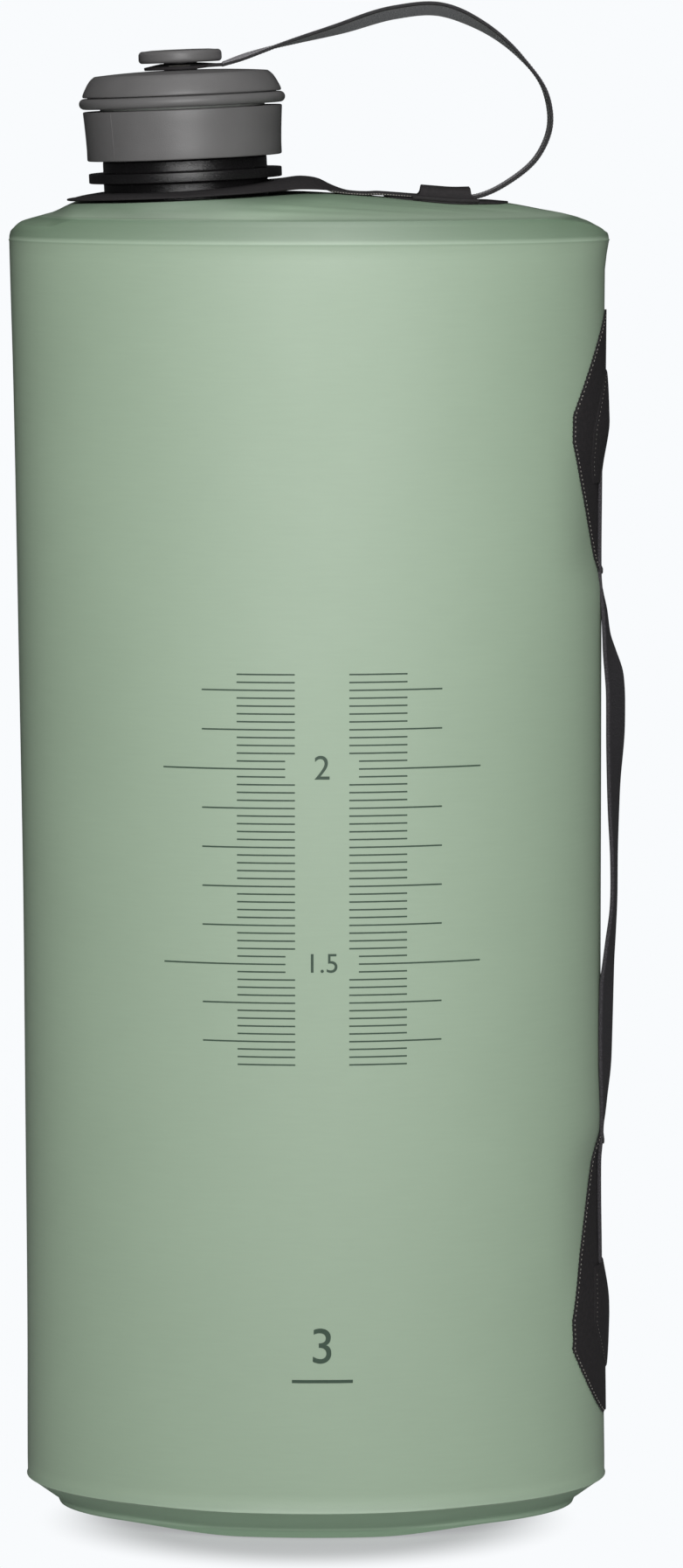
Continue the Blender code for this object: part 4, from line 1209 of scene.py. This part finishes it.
def litre_scale(walls):
    """The print on the front: fine level lines either side of two numbers of litres, longer at
    each tenth and longest at each half, and the number of litres that the carrier holds."""
    pieces = []
    lines = [(*UNDERLINE, UNDERLINE_WIDTH)]
    for step in SCALE_STEPS:
        height = SCALE_START + step / STEPS_TO_LITRE * LITRE_HEIGHT
        at_half = step % (STEPS_TO_LITRE // 2) == 0
        at_tenth = step % (STEPS_TO_LITRE // 10) == 0
        reach = HALF_LITRE_REACH if at_half else TENTH_REACH if at_tenth else LINE_REACH
        beside = at_half or step in STEPS_BESIDE_NUMBERS
        inner = LINE_START_AT_NUMBER if beside else LINE_START
        lines += [(height, -reach, -inner, TICK_WIDTH), (height, inner, reach, TICK_WIDTH)]
    for height, first, last, width in lines:
        deselect()
        bpy.ops.mesh.primitive_grid_add(x_subdivisions=18, y_subdivisions=1, size=1)
        line = bpy.context.object
        for vertex in line.data.vertices:
            across, up = vertex.co.x + 0.5, vertex.co.y
            vertex.co = printed_at(first + (last - first) * across, height + width * up)
        pieces.append(line)
    for body, height, size in (
        ("1.5", SCALE_START + 1.5 * LITRE_HEIGHT, 0.0072),
        ("2", SCALE_START + 2 * LITRE_HEIGHT, 0.0090),
        ("3", 0.0540, 0.0135),
    ):
        deselect()
        bpy.ops.object.text_add()
        number = bpy.context.object
        number.data.body = body
        number.data.size = size
        number.data.align_x = "CENTER"
        number.data.align_y = "CENTER"
        bpy.ops.object.convert(target="MESH")
        number = bpy.context.object
        edit_whole(number, (bpy.ops.mesh.subdivide, {"number_cuts": 2}))
        for vertex in number.data.vertices:
            vertex.co = printed_at(vertex.co.x, vertex.co.y + height)
        pieces.append(number)
    deselect()
    for piece in pieces:
        piece.select_set(True)
    bpy.context.view_layer.objects.active = pieces[0]
    bpy.ops.object.join()
    print_on_wall = bpy.context.object
    print_on_wall.name = "volume_scale"
    print_on_wall.matrix_world = Matrix.Identity(4)
    apply_modifier(
        print_on_wall, "SHRINKWRAP", target=walls, wrap_method="PROJECT", use_project_y=True,
        use_project_x=False, use_project_z=False, use_positive_direction=True,
        use_negative_direction=False, offset=INK_LIFT, project_limit=INK_REACH,
    )
    return print_on_wall


# Finishes


def linear(hex_colour):
    """An sRGB hex colour as linear red, green, blue and alpha."""
    srgb = [int(hex_colour[i : i + 2], 16) / 255 for i in (1, 3, 5)]
    return (*[c / 12.92 if c <= 0.04045 else ((c + 0.055) / 1.055) ** 2.4 for c in srgb], 1)


def plug(node, inputs):
    """Sets a node's inputs, by name or in their order, to values, hex colours or links."""
    for place, value in inputs.items() if isinstance(inputs, dict) else enumerate(inputs):
        if isinstance(value, bpy.types.NodeSocket):
            node.id_data.links.new(value, node.inputs[place])
        else:
            value = linear(value) if isinstance(value, str) else value
            node.inputs[place].default_value = value


def add_node(tree, kind, inputs, output=0, **settings):
    """Adds a shader node with its inputs and settings, and gives one of its outputs."""
    made = tree.nodes.new("ShaderNode" + kind)
    for name, value in settings.items():
        setattr(made, name, value)
    plug(made, inputs)
    return made.outputs[output]


def finish(name, roughness):
    """A material of that name and roughness, with its tree and its Principled shader."""
    made = bpy.data.materials.new(name)
    made.use_nodes = True
    shader = made.node_tree.nodes["Principled BSDF"]
    plug(shader, {"Roughness": roughness})
    return made, made.node_tree, shader


def polyurethane_film():
    """Frosted polyurethane film, extruded and welded: soft milky green with a satin gloss,
    faint streaks along the pour and a slow cloudiness. Its colour by height holds painted light:
    painted highlights on the weld lines, weld bands a shade deeper, partly as painted shade,
    painted shade in the rim's crease, and a painted shadow on the top panel under the plate."""
    made, tree, shader = finish("polyurethane_film", 0.55)
    place = add_node(tree, "Attribute", {}, "Vector", attribute_name="standing")
    # Fine streaks 0.7 mm apart that run round the wall
    long_way = add_node(tree, "Mapping", {"Vector": place, "Scale": (130, 130, 1400)})
    streaks = add_node(tree, "TexNoise", {"Vector": long_way, "Scale": 1, "Detail": 3})
    # Cloudiness 45 mm across
    cloud = add_node(tree, "TexNoise", {"Vector": place, "Scale": 22, "Detail": 3})
    # Grain 0.35 mm across, drawn coarser than the real frosting so that it shows
    grain = add_node(tree, "TexNoise", {"Vector": place, "Scale": 2800, "Detail": 1})
    tone = add_node(tree, "MapRange", (streaks, 0.3, 0.7, 0.985, 1.01))
    height = add_node(tree, "SeparateXYZ", (place,), "Z")
    colours = []
    # Colour by height, with painted highlights on the weld lines and painted light and shade at the
    # foot and the rim
    for first, last, tones in ((0, 0.02, FOOT_TONES_AND_PAINTED_LIGHT), (0.34, 0.36, RIM_TONES_AND_PAINTED_LIGHT)):
        share = add_node(tree, "MapRange", (height, first, last))
        colours.append(add_node(tree, "ValToRGB", (share,)))
        stops = colours[-1].node.color_ramp.elements
        stops.remove(stops[1])
        stops[0].position = (tones[0][0] - first) / (last - first)
        for at, _ in tones[1:]:
            stops.new((at - first) / (last - first))
        for stop, (_, colour) in zip(stops, tones):
            stop.color = linear(colour)
    upper = add_node(tree, "Math", (height, 0.2), operation="GREATER_THAN")
    coloured = add_node(tree, "MixRGB", (upper, *colours))
    # Painted shadow: the top panel is darkened under the leash plate
    plan = add_node(tree, "Mapping", {"Vector": place, "Scale": (1, 1, 0)})
    reach = add_node(
        tree, "VectorMath", (plan, (NECK_OFFSET, 0, 0)), "Value", operation="DISTANCE"
    )
    shadow = add_node(
        tree, "MapRange", (reach, *PLATE_SHADE, 0.5, 1), interpolation_type="SMOOTHSTEP"
    )
    below = add_node(tree, "Math", (height, TOP_PANEL_START), operation="LESS_THAN")
    shading = add_node(tree, "Math", (shadow, below), operation="MAXIMUM")
    for strength, shade in ((1, shading), (1, tone), (0.06, cloud)):
        coloured = add_node(tree, "MixRGB", (strength, coloured, shade), blend_type="MULTIPLY")
    rough = add_node(tree, "MapRange", (cloud, 0.3, 0.7, 0.52, 0.6))
    ribs = add_node(tree, "Bump", {"Height": streaks, "Strength": 0.03, "Distance": 0.0002})
    frost = add_node(
        tree, "Bump", {"Height": grain, "Strength": 0.1, "Distance": 0.0001, "Normal": ribs}
    )
    plug(shader, {
        "Base Color": coloured, "Roughness": rough, "Normal": frost, "Specular IOR Level": 0.9,
    })
    return made


def moulded(name, dark, light, roughness, grain_size, grain_depth):
    """Injection-moulded plastic: flow marks 11 mm across in an almost even colour, over a
    fine spark-eroded grain."""
    made, tree, shader = finish(name, roughness)
    place = add_node(tree, "TexCoord", {}, "Object")
    grain = add_node(tree, "TexNoise", {"Vector": place, "Scale": 1 / grain_size, "Detail": 2})
    flow = add_node(tree, "TexNoise", {"Vector": place, "Scale": 90, "Detail": 2})
    tone = add_node(tree, "MapRange", (flow, 0.35, 0.65, 0, 1))
    spread = 0.06
    plug(shader, {
        "Base Color": add_node(tree, "MixRGB", (tone, dark, light)),
        "Roughness": add_node(
            tree, "MapRange", (grain, 0.3, 0.7, roughness - spread, roughness + spread)
        ),
        "Normal": add_node(
            tree, "Bump", {"Height": grain, "Strength": 0.5, "Distance": grain_depth}
        ),
    })
    return made


def clouded(name, dark, light, roughness, scale, detail):
    """A matt finish whose colour drifts between two, as often as the scale says in a metre."""
    made, tree, shader = finish(name, roughness)
    place = add_node(tree, "TexCoord", {}, "Object")
    cloud = add_node(tree, "TexNoise", {"Vector": place, "Scale": scale, "Detail": detail})
    plug(shader, {"Base Color": add_node(tree, "MixRGB", (cloud, dark, light))})
    return made


def woven(name, dark, light, rib, fleck, roughness, depth, selvedge=None):
    """Polyester webbing: ribs across the strap, crossed by the warp, in yarns of two greys. A
    selvedge (its colour and the strap's width and thickness) binds thin, translucent webbing."""
    made, tree, shader = finish(name, roughness)
    flat = add_node(tree, "Attribute", {}, "Vector", attribute_name="weave")
    scale = WAVE_PERIOD / rib
    ribs = add_node(
        tree, "TexWave",
        {"Vector": flat, "Scale": scale, "Distortion": 0.6, "Detail": 1, "Detail Scale": 2},
        "Fac", wave_type="BANDS", bands_direction="Y",
    )
    warp = add_node(
        tree, "TexWave",
        {"Vector": flat, "Scale": scale / WARP_SHARE, "Distortion": 0.4, "Detail": 1},
        "Fac", wave_type="BANDS", bands_direction="X",
    )
    cross = add_node(tree, "Math", (ribs, warp), operation="MULTIPLY")
    # Flecks of the lighter yarn, longer along the strap than across it
    stretch = add_node(tree, "Mapping", {"Vector": flat, "Scale": (1 / fleck, 0.7 / fleck, 1)})
    flecks = add_node(tree, "TexNoise", {"Vector": stretch, "Scale": 1, "Detail": 3})
    heather = add_node(tree, "MapRange", (flecks, 0.42, 0.66, 0, 1))
    yarn = add_node(tree, "MixRGB", (heather, dark, light))
    shade = add_node(tree, "MapRange", (cross, 0, 0.6, 0.82, 1))
    colour = add_node(tree, "MixRGB", (1, yarn, shade), blend_type="MULTIPLY")
    if selvedge:
        edge_colour, width, thickness = selvedge
        across = add_node(tree, "SeparateXYZ", (flat,), "X")
        near = add_node(tree, "Math", (across, thickness), operation="LESS_THAN")
        far = add_node(tree, "Math", (across, width), operation="GREATER_THAN")
        edge = add_node(tree, "Math", (near, far), operation="MAXIMUM")
        colour = add_node(tree, "MixRGB", (edge, colour, edge_colour))
        plug(shader, {
            "Subsurface Weight": 0.7, "Subsurface Radius": (1, 1, 1), "Subsurface Scale": 0.002,
        })
    bump = add_node(tree, "Bump", {"Height": cross, "Strength": 0.5, "Distance": depth})
    plug(shader, {"Base Color": colour, "Normal": bump})
    return made


def sewing_thread(name, colour):
    """Polyester thread: a twisted strand, darker between its turns."""
    made, tree, shader = finish(name, 0.6)
    place = add_node(tree, "TexCoord", {}, "Object")
    twist = add_node(tree, "TexNoise", {"Vector": place, "Scale": 4000, "Detail": 1}, "Color")
    mixed = add_node(tree, "MixRGB", (0.35, colour, twist), blend_type="MULTIPLY")
    plug(shader, {"Base Color": mixed})
    return made


# Stage


def camera():
    """The photograph's view: a long lens a little above the cap, looking down."""
    lens = bpy.data.cameras.new("camera")
    lens.sensor_width = SENSOR
    lens.lens = LENS
    lens.clip_start = 0.1
    lens.clip_end = 30
    obj = bpy.data.objects.new("camera", lens)
    obj.location = VIEW_PLACE
    obj.rotation_euler = (math.radians(90 - VIEW_DIP), 0, 0)
    bpy.context.scene.collection.objects.link(obj)
    bpy.context.scene.camera = obj


def lamp(name, place, target, size, power):
    """A soft rectangular lamp that points at a target."""
    light = bpy.data.lights.new(name, "AREA")
    light.shape = "RECTANGLE"
    light.size, light.size_y = size
    light.energy = power
    obj = bpy.data.objects.new(name, light)
    obj.location = place
    obj.rotation_euler = (Vector(target) - Vector(place)).to_track_quat("-Z", "Y").to_euler()
    bpy.context.scene.collection.objects.link(obj)


def lights():
    """Two soft lamps in front, a little to the right, one above, and an even pale room."""
    lamp("high_lamp", (0.04, -1.15, 0.95), (0, 0, 0.22), (0.45, 0.65), 9.4)
    lamp("front_lamp", (0.08, -1.55, 0.45), (0, 0, 0.2), (0.5, 0.5), 10)
    lamp("top_lamp", (0.05, -0.1, 1.6), (0, 0, 0.2), (0.8, 0.8), 4)
    world = bpy.data.worlds.new("room")
    bpy.context.scene.world = world
    world.use_nodes = True
    tree = world.node_tree
    room = tree.nodes["Background"]
    plug(room, {"Color": "#F2F4F6", "Strength": 0.045})
    backdrop = add_node(tree, "Background", {"Color": PALE, "Strength": 1})
    path = add_node(tree, "LightPath", {}).node
    seen = add_node(
        tree, "Math", (path.outputs["Is Camera Ray"], path.outputs["Is Transmission Ray"]),
        operation="MAXIMUM",
    )
    mixed = add_node(tree, "MixShader", (seen, room.outputs[0], backdrop))
    plug(tree.nodes["World Output"], {"Surface": mixed})


def floor():
    """A pale floor that fades into the backdrop a little way from the carrier. Round the foot
    the eye sees its lit face in a grey darker than the backdrop: a painted shadow pool, a little
    forward of the foot, over the real shadow that the lamps cast.
    """
    deselect()
    bpy.ops.mesh.primitive_plane_add(size=16, location=(0, 0, -FLOOR_DROP))
    obj = bpy.context.object
    obj.name = "floor"
    made, tree, shader = finish("painted_floor", 0.9)
    camera_ray = add_node(tree, "LightPath", {}, "Is Camera Ray")
    # Paler for the light that it throws back than for the eye: the darker grey that the eye sees
    #     near the foot is painted shade
    plug(shader, {"Base Color": add_node(tree, "MixRGB", (camera_ray, "#B4B5B5", "#9A9B9B"))})
    place = add_node(tree, "TexCoord", {}, "Object")
    # 1 along an oval round the foot of the pouch, centred 12 mm in front of it; the painted shadow
    #     pool grades out across it
    oval = add_node(
        tree, "Mapping", {"Vector": place, "Location": (0, 0.3, 0), "Scale": (17, 25, 1)}
    )
    away = add_node(tree, "VectorMath", (oval,), "Value", operation="LENGTH")
    fade = add_node(
        tree, "MapRange", (away, 0.75, 1.25, 0.4, 1), interpolation_type="SMOOTHSTEP"
    )
    shown = add_node(tree, "Math", (fade, camera_ray), operation="MULTIPLY")
    pale = add_node(tree, "Emission", {"Color": PALE, "Strength": 1})
    mixed = add_node(tree, "MixShader", (shown, shader.outputs[0], pale))
    plug(tree.nodes["Material Output"], {"Surface": mixed})
    obj.data.materials.append(made)


# Putting it together


def dress(obj, material, body, nodes=(), angle=35):
    """Gives a finished piece its material, hides the CAD nodes that it stands for and parents it
    to its body. Edges under the angle, in degrees, look smooth."""
    work_on(obj)
    obj.data.materials.clear()
    obj.data.materials.append(material)
    bpy.ops.object.shade_smooth_by_angle(angle=math.radians(angle))
    if nodes:
        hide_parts(*nodes)
    if body:
        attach(obj, body)
    return obj


def remember(obj):
    """Keeps each point's place on the standing pouch, for the film's colours."""
    standing = obj.data.attributes.new("standing", "FLOAT_VECTOR", "POINT")
    for vertex, kept in zip(obj.data.vertices, standing.data):
        kept.vector = vertex.co
    return obj


def fold(obj):
    """Gives a piece of the pouch its own copy of its mesh."""
    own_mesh(obj)


def main():
    camera()
    lights()
    floor()

    film = polyurethane_film()
    black = moulded(
        "black_polypropylene", "#131213", "#181718",
        roughness=0.28, grain_size=0.00017, grain_depth=0.00014,
    )
    grey = moulded(
        "grey_polypropylene", "#636262", "#676666",
        roughness=0.45, grain_size=0.00022, grain_depth=0.00009,
    )
    # Frosted silicone rubber, milky and soft, with clouds 3 mm across
    silicone = clouded("silicone_seal", "#C3C7C2", "#D0D3CF", roughness=0.4, scale=300, detail=1)
    # Screen-printed ink, matt and uneven every 1.1 mm
    ink = clouded("screen_print_ink", "#2C4233", "#38503F", roughness=0.55, scale=900, detail=2)
    # The strap's yarns are paler than its own heathered grey: partly that grey and partly painted
    # light for the light that the floor throws up on to its underside
    strap_cloth_painted_light = woven(
        "heathered_strap_painted_light", "#7A787D", "#BBB9BF", rib=0.00045, fleck=0.00028, roughness=0.85,
        depth=0.00005, selvedge=("#2A292B", LEASH_WIDTH, LEASH_THICKNESS),
    )
    webbing = woven(
        "heathered_webbing", "#242225", "#4C494E", rib=0.00045, fleck=0.00028, roughness=0.85,
        depth=0.00006,
    )
    coated = woven(
        "coated_polyester", "#1D1A1C", "#252123", rib=0.0005, fleck=0.0009, roughness=0.8,
        depth=0.00002,
    )
    light_thread = sewing_thread("light_thread", "#918E87")
    dark_thread = sewing_thread("dark_thread", "#1B1A1B")

    walls = film_walls()
    dress(remember(walls), film, "pouch", ("front_panel", "back_panel"))
    print_on_front = litre_scale(walls)
    dress(print_on_front, ink, "pouch")
    fold(walls)
    fold(print_on_front)
    dress(remember(film_top()), film, "top", ("top_gusset",))
    dress(remember(film_base()), film, "pouch", ("bottom_gusset",))

    dress(neck(), black, "top", ("neck_spout",))
    neck_thread = thread(
        "neck_thread", MOUTH_RADIUS, height=0.0010, start=0.0122, turns=2.0, inwards=False
    )
    dress(neck_thread, black, "top")
    dress(cap_side(), grey, "cap", ("cap_skirt",))
    cap_thread = thread(
        "cap_thread", CAP_BORE_RADIUS, height=0.0009, start=0.0130, turns=1.8, inwards=True
    )
    dress(cap_thread, grey, "cap")
    dress(cap_top(), grey, "cap", ("cap_crown",))
    dress(cap_bead(), grey, "cap", ("grip_ring",))
    dress(cap_seal(), silicone, "cap", ("cap_gasket",))
    dress(stud(), grey, "cap", ("leash_stud",))
    dress(parting_line(), grey, "cap")

    dress(leash_eye(), coated, "leash_end", ("leash_eye",))
    dress(eye_stitches_and_highlight(), light_thread, "leash_end")
    strap = dress(leash(), strap_cloth_painted_light, None, ("leash_strap",), SHEET_ANGLE)
    thread_line = dress(leash_edges(), light_thread, None)
    for piece in (strap, thread_line):
        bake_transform(piece)
    dress(plate(), coated, "top", ("neck_strap",), SHEET_ANGLE)
    dress(arm(), coated, "top", (), SHEET_ANGLE)
    dress(arm_stitches(), light_thread, "top")
    dress(top_patch(), coated, "top", ("top_patch",), SHEET_ANGLE)
    dress(keeper(), coated, "top", ("strap_keeper",), SHEET_ANGLE)

    for name, patch in (("upper", UPPER_PATCH), ("lower", LOWER_PATCH)):
        piece = handle_patch(name + "_handle_patch", patch)
        fold(dress(piece, coated, "pouch", (name + "_patch",), SHEET_ANGLE))
        seam = patch_edge(patch, 0.0003)
        dots = stitches(name + "_patch_seam", seam, length=0.0005, radius=STITCH_RADIUS)
        fold(dress(dots, light_thread, "pouch"))
        loops = []
        for at, direction, up in patch_edge(patch, 0.0002):
            loops.append((at - up * 0.0002, direction.cross(up).normalized(), up))
        overlock = stitches(name + "_patch_overlock", loops, length=0.0013, radius=0.0003)
        fold(dress(overlock, dark_thread, "pouch"))
    for name, widest, direction in (
        ("upper", UPPER_COVER_WIDEST, 1), ("lower", LOWER_COVER_WIDEST, -1),
    ):
        piece = handle_cover(name + "_handle_cover", widest, direction)
        fold(dress(piece, coated, "pouch", (name + "_cover",), SHEET_ANGLE))
        seam = cover_stitches(name + "_cover_seam", widest, direction)
        fold(dress(seam, light_thread, "pouch"))
    fold(dress(handle(), webbing, "pouch", ("handle_webbing",), SHEET_ANGLE))
    for name, middle in (("upper_bar_tack", UPPER_TACK), ("lower_bar_tack", LOWER_TACK)):
        tack = bar_tack(name + "_thread", middle)
        fold(dress(tack, dark_thread, "pouch", (name,)))

    bpy.context.scene.view_settings.view_transform = "Standard"


main()
